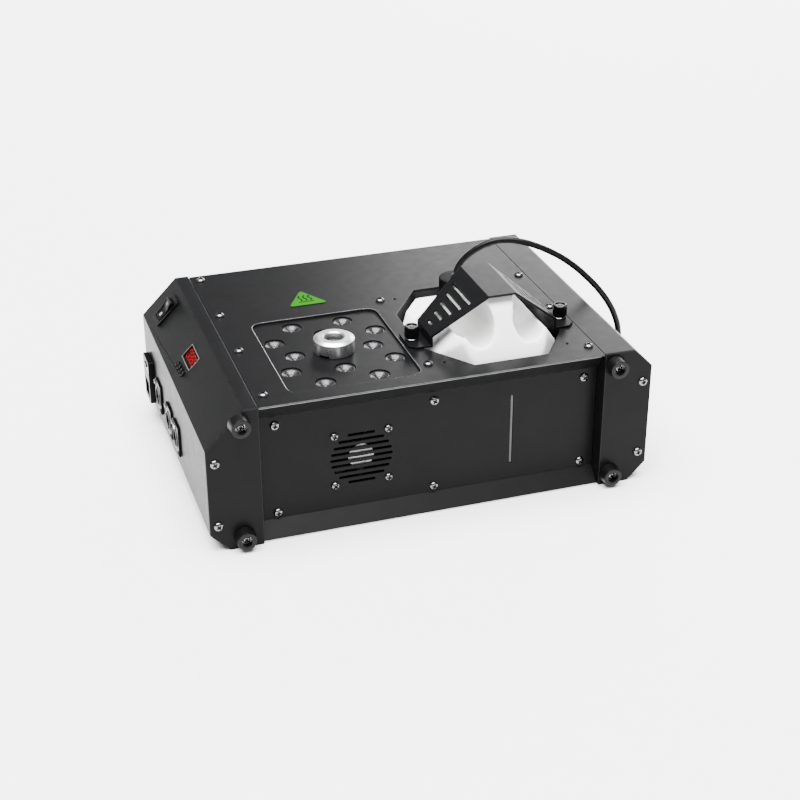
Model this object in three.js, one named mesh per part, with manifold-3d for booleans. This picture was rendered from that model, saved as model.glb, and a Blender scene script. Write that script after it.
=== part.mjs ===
// A fog machine with an upward nozzle in a ring of coloured lights.
//
// Millimetres, +Z up. The origin is the middle of the flat underside. The front, with the fan grille and
// the four rubber feet, faces -Y; the control slope and the sockets are at the left end, -X.

import * as THREE from 'three';
import { mergeVertices } from 'three/addons/utils/BufferGeometryUtils.js';
import Module from 'manifold-3d';

const wasm = await Module();
wasm.setup();

// ---- Driving dimensions -------------------------------------------------------------------------------

const BODY_LENGTH = 416;
const BODY_DEPTH = 294;
const BODY_HEIGHT = 136;
const GAP = 0.3; // between pieces that touch
const SEAM = 0.4; // between the middle panels and the end covers

// Sheet metal
const SHEET = 1.5;
const TOP_SHEET = 2;
const LEFT_END_WIDTH = 48;
const RIGHT_END_WIDTH = 47;
const CONTROL_CUT = 35; // 45 degree slope along the left end's top edge
const CORNER_CUT = 17.5; // the other three 45 degree corners
const CHEEK_RETURN = 24; // how far an end plate is folded back along the recess
const RECESS_DEPTH = 15.6; // front and rear panels sit back between the ends
const RECESS_LOW = 14.6;
const RECESS_BELOW_TOP = 19;
const BEVEL_EDGE = 2.5; // set-back of the bevels' outer edges
const TOP_FRONT_SETBACK = 0.6;
const TOP_REAR_SETBACK = 3;

// Light plate and nozzle, placed from the left end and the front face
const LIGHT_FROM_LEFT = 141;
const LIGHT_FROM_FRONT = 91;
const LIGHT_WIDTH = 121.6;
const LIGHT_DEPTH = 146.8;
const LIGHT_CORNER = 12;
const LIGHT_MARGIN = 6; // light plate hidden under the top plate's edge
const LENS_HOLE_RADIUS = 9.3;
const LENS_CLEARANCE = 0.5;
const OUTER_LENSES = [[24.7, 58.2], [48.4, 30.1]]; // one quarter of the outer ring
const INNER_LENS_X = 36.9;
const INNER_LENS_Y = 36;
const LENS_BELOW_PLATE = 1.2; // lens tops under the light plate's face
const CARRIER_DROP = 3.5; // between the light plate and the lens carrier
const LENS_CARRIER = 1.5;
const BOARD = 1.6;
const JET_SURROUND = 8; // hole in carrier and board, beyond the jet tube's flange
const NOZZLE_RADIUS = 18.7;
const NOZZLE_BORE_RADIUS = 8.9;
const NOZZLE_HEIGHT = 14;
const NOZZLE_CHAMFER = 3.6;
const NOZZLE_NOTCHES = 3;
const NOZZLE_NOTCH_FIRST = 45; // degrees
const NOZZLE_NOTCH_INSET = 3;
const NOZZLE_NOTCH_WIDTH = 10;
const NOZZLE_NOTCH_HEIGHT = 2.2;
const JET_RADIUS = 6.5;
const JET_BORE_RADIUS = 2;
const JET_BELOW_RING = 5;
const JET_FLANGE_RADIUS = 12;
const JET_FLANGE = 4;
const JET_TIP_CHAMFER = 1.5;
const JET_PLATE_CLEARANCE = 1;

// Heater under the lights
const HEATER_LENGTH = 110;
const HEATER_DEPTH = 70;
const HEATER_HEIGHT = 44;
const HEATER_BELOW_BOARD = 22;
const HEATER_GROOVES = 7;
const HEATER_GROOVE_PITCH = 9;
const HEATER_GROOVE = 3;
const HEATER_GROOVE_DEPTH = 5;
const STAND_INSET_X = 12;
const STAND_INSET_Y = 6;
const STAND_FOOT = 14;
const THERMOSTAT_FROM_END = 16;
const THERMOSTAT_RADIUS = 8;
const THERMOSTAT_NECK_RADIUS = 6;
const THERMOSTAT_STEP = 4;

// Fluid tank, placed from the right end and the front face
const TANK_FROM_RIGHT = 130.3;
const TANK_FROM_FRONT = 104.7;
const OPENING_HALF_X = 68.75;
const OPENING_HALF_Y = 85.3;
const OPENING_CUT_X = 33.5;
const OPENING_CUT_Y = 48;
const WELL_WALL = 1.2;
const TANK_CLEARANCE = 4.5;
const TANK_WALL = 2.5;
const TANK_CORNER = 20;
const SHOULDER_BELOW_TOP = 14;
const SIDE_SLANT = [[11, 0], [31, 25]]; // in from the tank's side, above the top plate
const FRONT_SLANT = [[0, -14], [3, -2]]; // in from the tank's front, above the top plate
const RIDGE_FRONT = [[21, -8], [32, 0]]; // in from the tank's front, above the ridge
const RIDGE_REAR = [[-2, 0], [8, -10]]; // behind the tank's middle, above the ridge
const RIDGE_BEVEL = 5;
const DECK_BELOW_TOP = 3;
const DECK_FRONT = 27; // behind the tank's middle
const DECK_REAR_BEVEL = [7, 8];
const RIDGE_ABOVE_TOP = 46.5;
const RIDGE_HALF_WIDTH = 6; // between the finger recesses
const RIDGE_TOP_HALF = 13;
const GRIP_REACH = 18; // half axes of the finger recesses
const GRIP_LENGTH = 44;
const GRIP_HEIGHT = 26;
const GRIP_ABOVE_TOP = 24;
const GRIP_FORWARD = 38;
const NECK_RADIUS = 13;
const NECK_WALL = 2;
const NECK_HEIGHT = 14;
const NECK_ROOT = 4; // below the deck
const CAP_X = 1.3;
const CAP_Y = 64.3;
const CAP_RADIUS = 17;
const CAP_HEIGHT = 18;
const CAP_WALL = 2.5;
const CAP_ABOVE_DECK = 3;
const CAP_RIBS = 12;
const CAP_RIB_DEPTH = 1.1;
const CAP_CLEARANCE = 0.5;
const GROMMET_RADIUS = 5.5;
const GROMMET_HEIGHT = 3;

// Strap over the tank and its two thumb screws
const STRAP = 2;
const STRAP_TOP_HALF = 13.5;
const STRAP_FOOT_BEND = 61.5;
const STRAP_FOOT_END = 81;
const STRAP_KNEE = 11; // upright part above the top plate
const STRAP_RISE = 51.5;
const STRAP_TOP_WIDTH = 73;
const STRAP_FOOT_WIDTH = 38;
const STRAP_FOOT_TRIM = 6;
const STRAP_FORWARD = 21.7;
const STRAP_SLOTS = 5;
const STRAP_SLOT_FIRST = 0.13; // along the slant, from its foot
const STRAP_SLOT_PITCH = 0.153;
const STRAP_SLOT_SHORTEST = 9.7;
const STRAP_SLOT_GROWTH = 9.6;
const STRAP_SLOT_WIDTH = 2.4;
const THUMB_X = 73.2;
const THUMB_RADIUS = 6.7;
const THUMB_HEIGHT = 11.5;
const THUMB_RIBS = 10;
const THUMB_RIB_DEPTH = 0.8;
const THUMB_DISH_RIM = 2.2;
const THUMB_DISH_DEPTH = 1;
const COLLAR_RADIUS = 6.2;
const COLLAR_HEIGHT = 1.4;
const STUD_RADIUS = 2.4;
const STUD_CLEARANCE = 0.4;
const STUD_BELOW_TOP = 9;
const SPARE_HOLE_RADIUS = 1.5;
const SPARE_HOLE_X = 59.3;
const SPARE_HOLE_Y = 71.8;

// Level sight slot in the front panel, in line with the tank
const SIGHT_WIDTH = 2.8;
const SIGHT_LOW = 31;
const SIGHT_HIGH = 102;

// Fan behind the front panel
const FAN_FROM_LEFT = 143.1;
const FAN_CENTRE_HEIGHT = 63;
const FAN_SIZE = 60;
const FAN_DEPTH = 25;
const FAN_BORE_RADIUS = 28.6;
const FAN_SCREW_PITCH = 50;
const FAN_SCREW_RADIUS = 2.15;
const FAN_HUB_RADIUS = 13;
const FAN_BLADES = 7;
const FAN_TIP_CLEARANCE = 0.8;
const FAN_STRUT = 3;
const FAN_CORNER = 4;
const FAN_ROTOR_INSET = 1; // behind the frame's front face
const FAN_ROTOR_CLEARANCE = 1; // in front of the struts
const FAN_BLADE = 1.4;
const FAN_BLADE_WIDTH = 21;
const FAN_BLADE_PITCH = 52; // degrees
const GRILLE_RADIUS = 27.7;
const GRILLE_SLOTS = 9;
const GRILLE_PITCH = 6;
const GRILLE_SLOT = 2.6;

// Rubber feet on the front of the end plates
const FOOT_RADIUS = 10;
const FOOT_FACE_RADIUS = 8.6;
const FOOT_HEIGHT = 10.5;
const FOOT_RECESS_RADIUS = 5;
const FOOT_RECESS_DEPTH = 6;
const FOOT_FROM_LEFT = 30.5;
const FOOT_FROM_RIGHT = 37;
const FOOT_FROM_EDGE = 12; // centres above the underside and below the top
const FOOT_LIP = 1;
const FOOT_SIDES = 20;

// Controls on the slope: u climbs the slope, v runs to the rear
const SWITCH_U = 25.5;
const SWITCH_FROM_FRONT = 257;
const SWITCH_LENGTH = 31;
const SWITCH_WIDTH = 25;
const SWITCH_BEZEL = 1.6;
const SWITCH_RIM = 2.6;
const SWITCH_DEPTH = 17;
const SWITCH_WALL = 1.5;
const SWITCH_FLOOR = 6;
const ROCKER_TILT = 10; // degrees either side of level
const ROCKER_CLEARANCE = 0.6;
const ROCKER_BODY = 3;
const DISPLAY_U = 27.2;
const DISPLAY_FROM_FRONT = 144.8;
const DISPLAY_LENGTH = 30;
const DISPLAY_WIDTH = 13.5;
const DISPLAY_DEPTH = 7;
const DISPLAY_RECESS = 1.2;
const DISPLAY_CLEARANCE = 0.3;
const BUTTON_U = 12.7;
const BUTTONS = 4;
const BUTTON_RADIUS = 2.7;
const BUTTON_SPACE = 1.87; // between neighbouring buttons
const BUTTON_CLEARANCE = 0.3;
const BUTTON_PROUD = 1.3;
const BUTTON_FLANGE = 0.6;
const BUTTON_FLANGE_REACH = 0.7;
const BUTTON_STEM_INSET = 1.2;
const BUTTON_SIDES = 14;
const BUTTON_TRAVEL = 0.5;
const CONTROL_BOARD_LENGTH = 62;
const CONTROL_BOARD_WIDTH = 38;
const CONTROL_BOARD_BELOW = 8;
const CONTROL_BOARD_DOWN = 4; // its middle, down the slope from the display's

// Sockets on the left end
const SOCKET_HEIGHT = 46;
const SOCKETS_FROM_FRONT = [220, 167.5, 133];
const SOCKET_FLANGE_WIDTH = 26;
const SOCKET_FLANGE_HEIGHT = 31;
const SOCKET_FLANGE = 2;
const SOCKET_BODY_RADIUS = 11.6;
const SOCKET_BODY_DEPTH = 17;
const SOCKET_CLEARANCE = 0.4;
const SOCKET_BORE_RADIUS = 8.2;
const SOCKET_BORE_DEPTH = 12;
const SOCKET_CORNER = 3;
const SOCKET_INSERT_GAP = 1.2;
const SOCKET_INSERT_BELOW = 0.6;
const PIN_RADIUS = 1.2;
const PIN_CIRCLE_RADIUS = 4;
const PIN_BELOW = 2;
const PIN_HOLE_CLEARANCE = 0.2;
const PIN_HOLE_DEPTH = 9;
const INLET_FROM_FRONT = 262;
const INLET_WIDTH = 28;
const INLET_HEIGHT = 46;
const INLET_PROUD = 5.5;
const INLET_BODY_DEPTH = 22;
const INLET_CAVITY_WIDTH = 20;
const INLET_CAVITY_HEIGHT = 17;
const INLET_CAVITY_DEPTH = 16;
const INLET_CAVITY_EDGE = 5; // flange left below the cavity
const INLET_FLANGE_REACH = 2;
const INLET_CORNER = 3;
const INLET_BLADES = [[-6.5, -1], [6.5, -1], [0, 3]];
const INLET_BLADE_WIDTH = 1.8;
const INLET_BLADE_HEIGHT = 4;
const INLET_BLADE_BELOW = 3;
const FUSE_WIDTH = 22;
const FUSE_HEIGHT = 10;
const FUSE_DEPTH = 12;
const FUSE_CLEARANCE = 0.4;
const FUSE_EDGE = 5; // flange left above the drawer
const FUSE_BELOW = 0.2;
const FUSE_LIP_HALF = 4;
const FUSE_LIP_OUT = 1;
const FUSE_LIP_IN = 1.2;
const FUSE_LIP_RISE = 1; // above the drawer's middle

// Fluid path
const HOSE_RADIUS = 3;
const HOSE_SIDES = 10;
const HOSE_STEPS = 44;
const INLET_GROMMET_Y = -17;
const INLET_GROMMET_HEIGHT = 56;
const INLET_GROMMET_RADIUS = 7;
const INLET_GROMMET_PROUD = 2.2;
const INLET_GROMMET_LIP = 2;
const INLET_GROMMET_INSIDE = 3; // behind the sheet
const PIPE_RADIUS = 2;
const FEED_RADIUS = 3;
const SUCTION_RADIUS = 3;
const FILTER_RADIUS = 8;
const FILTER_HEIGHT = 16;
const PUMP_FROM_LEFT = 150;
const PUMP_FROM_REAR = 66;
const PUMP_HEIGHT = 48;
const PUMP_END_RADIUS = 10;
const PUMP_END = 5;
const PUMP_PORT_RADIUS = 4;
const PUMP_PORT_REACH = 12;
const PUMP_STAND_INSET = 4;
const PUMP_STAND_FOOT = 16;
const COIL_LENGTH = 46;
const COIL_SIZE = 36;
const CORE_RADIUS = 6;
const PLUNGER_RADIUS = 4.6;
const PLUNGER_LENGTH = 24;
const SPRING_RADIUS = 3.6;
const SPRING_WIRE = 0.6;
const SPRING_TURNS = 5;
const SPRING_LENGTH = 14;
const POWER_BOARD_RIGHT = 24; // from the tank's middle
const POWER_BOARD_FORWARD = 38; // from the rear panel's outer face
const POWER_BOARD_HALF = [50, 24];
const POWER_BOARD_STUD = [44, 18];
const POWER_BOARD_STUD_HALF = 3;
const POWER_BOARD_RISE = 5;
const POWER_BOARD_PARTS = [[-26, 0, 30, 26, 22], [6, -8, 16, 20, 14], [34, 6, 18, 28, 17]]; // x, y, sizes

// Warning sign on the top plate
const SIGN_FROM_LEFT = 144;
const SIGN_FROM_FRONT = 200;
const SIGN_SIDE = 38;
const SIGN_THICKNESS = 0.4;
const SIGN_CORNER = 2.5;

// The hose's route, from the tank cap over the right end and down into its grommet
const HOSE_ROUTE = [
  [79, 22, 157.6], [79.3, 21.9, 161.6], [81.6, 21.4, 167], [86.2, 20.3, 173], [92.6, 18.7, 179],
  [100.6, 16.7, 184.4], [111, 14.1, 188.9], [124.4, 10.8, 190.6], [138.8, 7.2, 188.6], [153.2, 3.7, 183.8],
  [173, -1.2, 173.8], [188, -4.9, 163.2], [203.1, -8.6, 149.2], [216.8, -12, 133.5], [226.5, -14.4, 118.8],
  [233, -15.8, 104.5], [236.2, -16.6, 92], [236.5, -17, 81], [233.2, -17, 68.5], [224, -17, 59.3],
  [216, -17, 56.3], [211, -17, 56],
];

// ---- Places worked out from the dimensions ------------------------------------------------------------

const LEFT = -BODY_LENGTH / 2;
const RIGHT = BODY_LENGTH / 2;
const FRONT = -BODY_DEPTH / 2;
const BACK = BODY_DEPTH / 2;
const MIDDLE_LEFT = LEFT + LEFT_END_WIDTH + SEAM;
const MIDDLE_RIGHT = RIGHT - RIGHT_END_WIDTH - SEAM;
const TOP_UNDER = BODY_HEIGHT - TOP_SHEET;
const FLOOR_TOP = SHEET;
const LIGHT_X = LEFT + LIGHT_FROM_LEFT;
const LIGHT_Y = FRONT + LIGHT_FROM_FRONT;
const LIGHT_TOP = TOP_UNDER - GAP;
const LIGHT_UNDER = LIGHT_TOP - SHEET;
const TANK_X = RIGHT - TANK_FROM_RIGHT;
const TANK_Y = FRONT + TANK_FROM_FRONT;
const PANEL_INSIDE = FRONT + RECESS_DEPTH + SHEET;
const FAN_X = LEFT + FAN_FROM_LEFT;
const STRAP_Y = TANK_Y - STRAP_FORWARD;
const STRAP_FOOT_TOP = BODY_HEIGHT + GAP + STRAP;
const WELL_FLOOR = FLOOR_TOP + GAP + WELL_WALL;
const TANK_BOTTOM = WELL_FLOOR + GAP;
const DECK = BODY_HEIGHT - DECK_BELOW_TOP;
const NECK_X = TANK_X + CAP_X;
const NECK_Y = TANK_Y + CAP_Y;
const CAP_BOTTOM = DECK + CAP_ABOVE_DECK;
const CAP_TOP = CAP_BOTTOM + CAP_HEIGHT;
const CARRIER_UNDER = LIGHT_UNDER - CARRIER_DROP - LENS_CARRIER;
const LIGHT_BOARD_TOP = CARRIER_UNDER - GAP;
const HEATER_TOP = LIGHT_BOARD_TOP - BOARD - HEATER_BELOW_BOARD;
const HEATER_BOTTOM = HEATER_TOP - HEATER_HEIGHT;
const LENS_PLACES = lensPlaces();

// ---- Finishes -----------------------------------------------------------------------------------------

const FINISHES = {
  blackPaint: [0x2f2f31, 0.55, 0.35],
  blackPlastic: [0x171718, 0.45, 0],
  rubber: [0x1d1d1e, 0.8, 0],
  brightAluminium: [0xc9cacc, 0.25, 0.95],
  castAluminium: [0xa3a5a8, 0.5, 0.9],
  steel: [0xb4b6b8, 0.35, 0.95],
  copper: [0xb87048, 0.35, 0.9],
  tankPlastic: [0xeeeeec, 0.4, 0],
  clearLens: [0xd8dcde, 0.1, 0],
  circuitBoard: [0x1f5a38, 0.5, 0],
  redDisplay: [0x7a1018, 0.25, 0],
  greenSign: [0x57b82a, 0.45, 0],
  clearTube: [0xdfe3e0, 0.3, 0],
};

function finish(name) {
  const [color, roughness, metalness] = FINISHES[name];
  return new THREE.MeshStandardMaterial({ color, roughness, metalness });
}

// ---- Outlines -----------------------------------------------------------------------------------------

function points(pairs) {
  return pairs.map(([x, y]) => new THREE.Vector2(x, y));
}

function circle(radius, u, v, sides) {
  return Array.from({ length: sides }, (_, i) => {
    const angle = (2 * Math.PI * i) / sides;
    return new THREE.Vector2(u + radius * Math.cos(angle), v + radius * Math.sin(angle));
  });
}

function rectangle(u, v, width, height) {
  const [a, b] = [width / 2, height / 2];
  return points([[u - a, v - b], [u + a, v - b], [u + a, v + b], [u - a, v + b]]);
}

// Replaces each corner of a convex outline by a smooth curve.
function rounded(outline, radius, steps = 4) {
  const count = outline.length;
  return outline.flatMap((corner, i) => {
    const before = outline[(i + count - 1) % count].clone().sub(corner);
    const after = outline[(i + 1) % count].clone().sub(corner);
    const angle = Math.acos(before.clone().normalize().dot(after.clone().normalize()));
    const shortest = Math.min(before.length(), after.length());
    const reach = Math.min(radius / Math.tan(angle / 2), 0.45 * shortest);
    const start = corner.clone().addScaledVector(before.normalize(), reach);
    const end = corner.clone().addScaledVector(after.normalize(), reach);
    return new THREE.QuadraticBezierCurve(start, corner.clone(), end).getPoints(steps);
  });
}

// The unit vector to the left of a step from one point to the next.
function leftOf(from, to) {
  return new THREE.Vector2(from.y - to.y, to.x - from.x).normalize();
}

// A point moved so that both edges that meet there move by the distance.
function mitred(point, before, after, distance) {
  const middle = before.clone().add(after).normalize();
  return point.clone().addScaledVector(middle, distance / middle.dot(after));
}

// An anticlockwise outline made smaller all round, or larger where the distance is negative.
function inset(outline, distance) {
  const count = outline.length;
  const normal = (i) => leftOf(outline[i % count], outline[(i + 1) % count]);
  return outline.map((point, i) => mitred(point, normal(i + count - 1), normal(i), distance));
}

// The section of a folded sheet: one face follows the line and the other lies to its left.
function sheetSection(line, thickness) {
  const normals = line.slice(1).map((point, i) => leftOf(line[i], point));
  const other = line.map((point, i) => {
    const before = normals[Math.max(i - 1, 0)];
    const after = normals[Math.min(i, normals.length - 1)];
    return mitred(point, before, after, thickness);
  });
  return [...line, ...other.reverse()];
}

// A long octagon: a rectangle with its four corners cut off.
function cutRectangle(u, v, halfU, halfV, cutU, cutV) {
  return points([
    [u - halfU + cutU, v - halfV], [u + halfU - cutU, v - halfV],
    [u + halfU, v - halfV + cutV], [u + halfU, v + halfV - cutV],
    [u + halfU - cutU, v + halfV], [u - halfU + cutU, v + halfV],
    [u - halfU, v + halfV - cutV], [u - halfU, v - halfV + cutV],
  ]);
}

// ---- Solids -------------------------------------------------------------------------------------------

// A closed geometry as a solid that can be cut and joined.
function solidOf(geometry) {
  const bare = geometry.clone();
  bare.deleteAttribute('normal');
  bare.deleteAttribute('uv');
  const merged = mergeVertices(bare, 1e-4);
  const corners = merged.index.array;
  const kept = [];
  for (let i = 0; i < corners.length; i += 3) {
    const [a, b, c] = [corners[i], corners[i + 1], corners[i + 2]];
    if (a !== b && b !== c && c !== a) kept.push(a, b, c);
  }
  return new wasm.Manifold(new wasm.Mesh({
    numProp: 3,
    vertProperties: Float32Array.from(merged.attributes.position.array),
    triVerts: Uint32Array.from(kept),
  }));
}

function geometryOf(solid) {
  const { vertProperties, triVerts } = solid.getMesh();
  const geometry = new THREE.BufferGeometry();
  geometry.setAttribute('position', new THREE.BufferAttribute(vertProperties, 3));
  geometry.setIndex(new THREE.BufferAttribute(triVerts, 1));
  geometry.computeVertexNormals();
  return geometry;
}

const ALONG = {
  x: new THREE.Matrix4().makeBasis(
    new THREE.Vector3(0, 1, 0), new THREE.Vector3(0, 0, 1), new THREE.Vector3(1, 0, 0)),
  y: new THREE.Matrix4().makeBasis(
    new THREE.Vector3(1, 0, 0), new THREE.Vector3(0, 0, 1), new THREE.Vector3(0, -1, 0)),
  z: new THREE.Matrix4(),
};

// An outline drawn in the two other axes, in X, Y, Z order, and extruded along one axis.
function prismGeometry(outline, axis, low, high) {
  const shape = new THREE.Shape(outline);
  const geometry = new THREE.ExtrudeGeometry(shape, { depth: high - low, bevelEnabled: false });
  geometry.applyMatrix4(ALONG[axis]);
  const start = { x: [low, 0, 0], y: [0, high, 0], z: [0, 0, low] }[axis];
  return geometry.translate(...start);
}

function prism(outline, axis, low, high) {
  return solidOf(prismGeometry(outline, axis, low, high));
}

function boxGeometry([x0, x1], [y0, y1], [z0, z1]) {
  const geometry = new THREE.BoxGeometry(x1 - x0, y1 - y0, z1 - z0);
  return geometry.translate((x0 + x1) / 2, (y0 + y1) / 2, (z0 + z1) / 2);
}

function box(xs, ys, zs) {
  return solidOf(boxGeometry(xs, ys, zs));
}

function rod(axis, radius, u, v, low, high, sides = 20) {
  return prism(circle(radius, u, v, sides), axis, low, high);
}

// A profile of [radius, height] pairs turned about a vertical axis.
function turned(profile, x, y, sides = 24) {
  const geometry = new THREE.LatheGeometry(points(profile), sides);
  geometry.rotateX(Math.PI / 2);
  return solidOf(geometry.translate(x, y, 0));
}

function ellipsoid(radii, centre, across = 20, down = 12) {
  const geometry = new THREE.SphereGeometry(1, across, down);
  return solidOf(geometry.scale(...radii).translate(...centre));
}

// A round bar along a smooth curve, with flat ends.
function bentRod(curve, radius, sides, steps) {
  const shape = new THREE.Shape(circle(radius, 0, 0, sides));
  return solidOf(new THREE.ExtrudeGeometry(shape, { steps, extrudePath: curve, bevelEnabled: false }));
}

function smoothPath(route) {
  return new THREE.CatmullRomCurve3(route.map((place) => new THREE.Vector3(...place)), false, 'centripetal');
}

function joined(first, ...others) {
  return others.reduce((whole, piece) => whole.add(piece), first);
}

function cut(whole, ...pieces) {
  return pieces.reduce((rest, piece) => rest.subtract(piece), whole);
}

function place(group, name, solid, finishName) {
  const mesh = new THREE.Mesh(geometryOf(solid), finish(finishName));
  mesh.name = name;
  group.add(mesh);
}

// ---- Casing -------------------------------------------------------------------------------------------

// The corners of an end's section, from its top inner edge round the outside to its bottom inner edge.
function endLine(side) {
  const left = side < 0;
  const width = left ? LEFT_END_WIDTH : RIGHT_END_WIDTH;
  const topCut = left ? CONTROL_CUT : CORNER_CUT;
  const x = (inward) => side * (BODY_LENGTH / 2 - inward);
  return points([
    [x(width), BODY_HEIGHT], [x(topCut), BODY_HEIGHT], [x(0), BODY_HEIGHT - topCut],
    [x(0), CORNER_CUT], [x(CORNER_CUT), 0], [x(width), 0],
  ]);
}

function endCover(side) {
  const line = side < 0 ? endLine(side) : endLine(side).reverse();
  return prism(sheetSection(line, SHEET), 'y', FRONT + SHEET + GAP, BACK - SHEET - GAP);
}

// A flat end plate with its inner edge folded back along the recess.
function endPlate(side, front) {
  const line = endLine(side);
  const face = front ? FRONT : BACK - SHEET;
  const inner = line[0].x;
  const fold = [inner, inner + side * SHEET].sort((a, b) => a - b);
  const back = front ? [FRONT, FRONT + CHEEK_RETURN] : [BACK - CHEEK_RETURN, BACK];
  const flange = box(fold, back, [SHEET + GAP, BODY_HEIGHT - SHEET - GAP]);
  return joined(prism(line, 'y', face, face + SHEET), flange);
}

// The section of a recessed panel with a bevel along its top and bottom edges.
function recessLine() {
  const [low, high] = [FLOOR_TOP + GAP, TOP_UNDER - GAP];
  const top = new THREE.Vector2(FRONT + BEVEL_EDGE, high);
  const upper = new THREE.Vector2(FRONT + RECESS_DEPTH, BODY_HEIGHT - RECESS_BELOW_TOP);
  const lower = new THREE.Vector2(FRONT + RECESS_DEPTH, RECESS_LOW);
  const bottom = new THREE.Vector2(FRONT + BEVEL_EDGE, low);
  const beyond = (end, knee) => end.clone().add(end.clone().sub(knee).setLength(2 * SHEET));
  return [beyond(top, upper), upper, lower, beyond(bottom, lower)];
}

function recessPanel(front) {
  let line = recessLine();
  if (!front) line = line.map((point) => new THREE.Vector2(-point.x, point.y)).reverse();
  const panel = prism(sheetSection(line, SHEET), 'x', MIDDLE_LEFT, MIDDLE_RIGHT);
  const span = [MIDDLE_LEFT - 1, MIDDLE_RIGHT + 1];
  const room = box(span, [FRONT, BACK], [FLOOR_TOP + GAP, TOP_UNDER - GAP]);
  return panel.intersect(room);
}

function grilleSlots() {
  const middle = (GRILLE_SLOTS - 1) / 2;
  return Array.from({ length: GRILLE_SLOTS }, (_, i) => {
    const rise = (i - middle) * GRILLE_PITCH;
    const half = Math.sqrt(GRILLE_RADIUS ** 2 - (Math.abs(rise) + GRILLE_SLOT / 2) ** 2);
    const outline = rectangle(FAN_X, FAN_CENTRE_HEIGHT + rise, 2 * half + GRILLE_SLOT, GRILLE_SLOT);
    return prism(rounded(outline, GRILLE_SLOT / 2, 2), 'y', FRONT, PANEL_INSIDE + 1);
  });
}

function sightSlot(width, low, high) {
  const outline = rectangle(TANK_X, (SIGHT_LOW + SIGHT_HIGH) / 2, width, SIGHT_HIGH - SIGHT_LOW);
  return prism(rounded(outline, width / 2, 2), 'y', low, high);
}

function frontPanel() {
  return cut(recessPanel(true), sightSlot(SIGHT_WIDTH, FRONT, PANEL_INSIDE + 1), ...grilleSlots());
}

function openingOutline() {
  return cutRectangle(TANK_X, TANK_Y, OPENING_HALF_X, OPENING_HALF_Y, OPENING_CUT_X, OPENING_CUT_Y);
}

function lightOutline(margin) {
  const outline = rectangle(LIGHT_X, LIGHT_Y, LIGHT_WIDTH + 2 * margin, LIGHT_DEPTH + 2 * margin);
  return rounded(outline, LIGHT_CORNER, 5);
}

function topPlate() {
  const [low, high] = [TOP_UNDER - 1, BODY_HEIGHT + 1];
  const span = [FRONT + TOP_FRONT_SETBACK, BACK - TOP_REAR_SETBACK];
  const sheet = box([MIDDLE_LEFT, MIDDLE_RIGHT], span, [TOP_UNDER, BODY_HEIGHT]);
  const studHoles = [-1, 1].map((side) =>
    rod('z', STUD_RADIUS + STUD_CLEARANCE, TANK_X + side * THUMB_X, STRAP_Y, low, high, 12));
  const spareHoles = [[-1, -1], [1, -1], [1, 1], [-1, 1]].map(([i, j]) =>
    rod('z', SPARE_HOLE_RADIUS, TANK_X + i * SPARE_HOLE_X, TANK_Y + j * SPARE_HOLE_Y, low, high, 10));
  return cut(sheet, prism(openingOutline(), 'z', low, high), prism(lightOutline(0), 'z', low, high),
    ...studHoles, ...spareHoles);
}

function bottomTray() {
  return box([MIDDLE_LEFT, MIDDLE_RIGHT], [FRONT + BEVEL_EDGE, BACK - BEVEL_EDGE], [0, SHEET]);
}

function foot(x, z) {
  const face = FRONT - GAP - FOOT_HEIGHT;
  const profile = [
    [0, face + FOOT_RECESS_DEPTH], [FOOT_RECESS_RADIUS, face + FOOT_RECESS_DEPTH], [FOOT_RECESS_RADIUS, face],
    [FOOT_FACE_RADIUS - FOOT_LIP, face], [FOOT_FACE_RADIUS, face + FOOT_LIP], [FOOT_RADIUS, FRONT - GAP],
    [0, FRONT - GAP],
  ];
  const geometry = new THREE.LatheGeometry(points(profile), FOOT_SIDES);
  return solidOf(geometry.translate(x, 0, z));
}

function addCasing(group) {
  place(group, 'bottom_tray', bottomTray(), 'blackPaint');
  place(group, 'front_panel', frontPanel(), 'blackPaint');
  place(group, 'rear_panel', recessPanel(false), 'blackPaint');
  place(group, 'top_plate', topPlate(), 'blackPaint');
  place(group, 'left_cover', cut(endCover(-1), ...leftCoverCuts()), 'blackPaint');
  place(group, 'left_front_plate', endPlate(-1, true), 'blackPaint');
  place(group, 'left_rear_plate', endPlate(-1, false), 'blackPaint');
  place(group, 'right_cover', cut(endCover(1), inletGrommetHole()), 'blackPaint');
  place(group, 'right_front_plate', endPlate(1, true), 'blackPaint');
  place(group, 'right_rear_plate', endPlate(1, false), 'blackPaint');
  const [footLeft, footRight] = [LEFT + FOOT_FROM_LEFT, RIGHT - FOOT_FROM_RIGHT];
  place(group, 'foot_left_low', foot(footLeft, FOOT_FROM_EDGE), 'rubber');
  place(group, 'foot_left_high', foot(footLeft, BODY_HEIGHT - FOOT_FROM_EDGE), 'rubber');
  place(group, 'foot_right_low', foot(footRight, FOOT_FROM_EDGE), 'rubber');
  place(group, 'foot_right_high', foot(footRight, BODY_HEIGHT - FOOT_FROM_EDGE), 'rubber');
}

// ---- Lights and nozzle --------------------------------------------------------------------------------

function lensPlaces() {
  const signs = [[-1, -1], [1, -1], [1, 1], [-1, 1]];
  const outer = OUTER_LENSES.flatMap(([x, y]) => signs.map(([i, j]) => [i * x, j * y]));
  const inner = [[-INNER_LENS_X, 0], [INNER_LENS_X, 0], [0, -INNER_LENS_Y], [0, INNER_LENS_Y]];
  return [...outer, ...inner].map(([x, y]) => [LIGHT_X + x, LIGHT_Y + y]);
}

function lensRods(radius, low, high, sides) {
  return LENS_PLACES.map(([x, y]) => rod('z', radius, x, y, low, high, sides));
}

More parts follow.
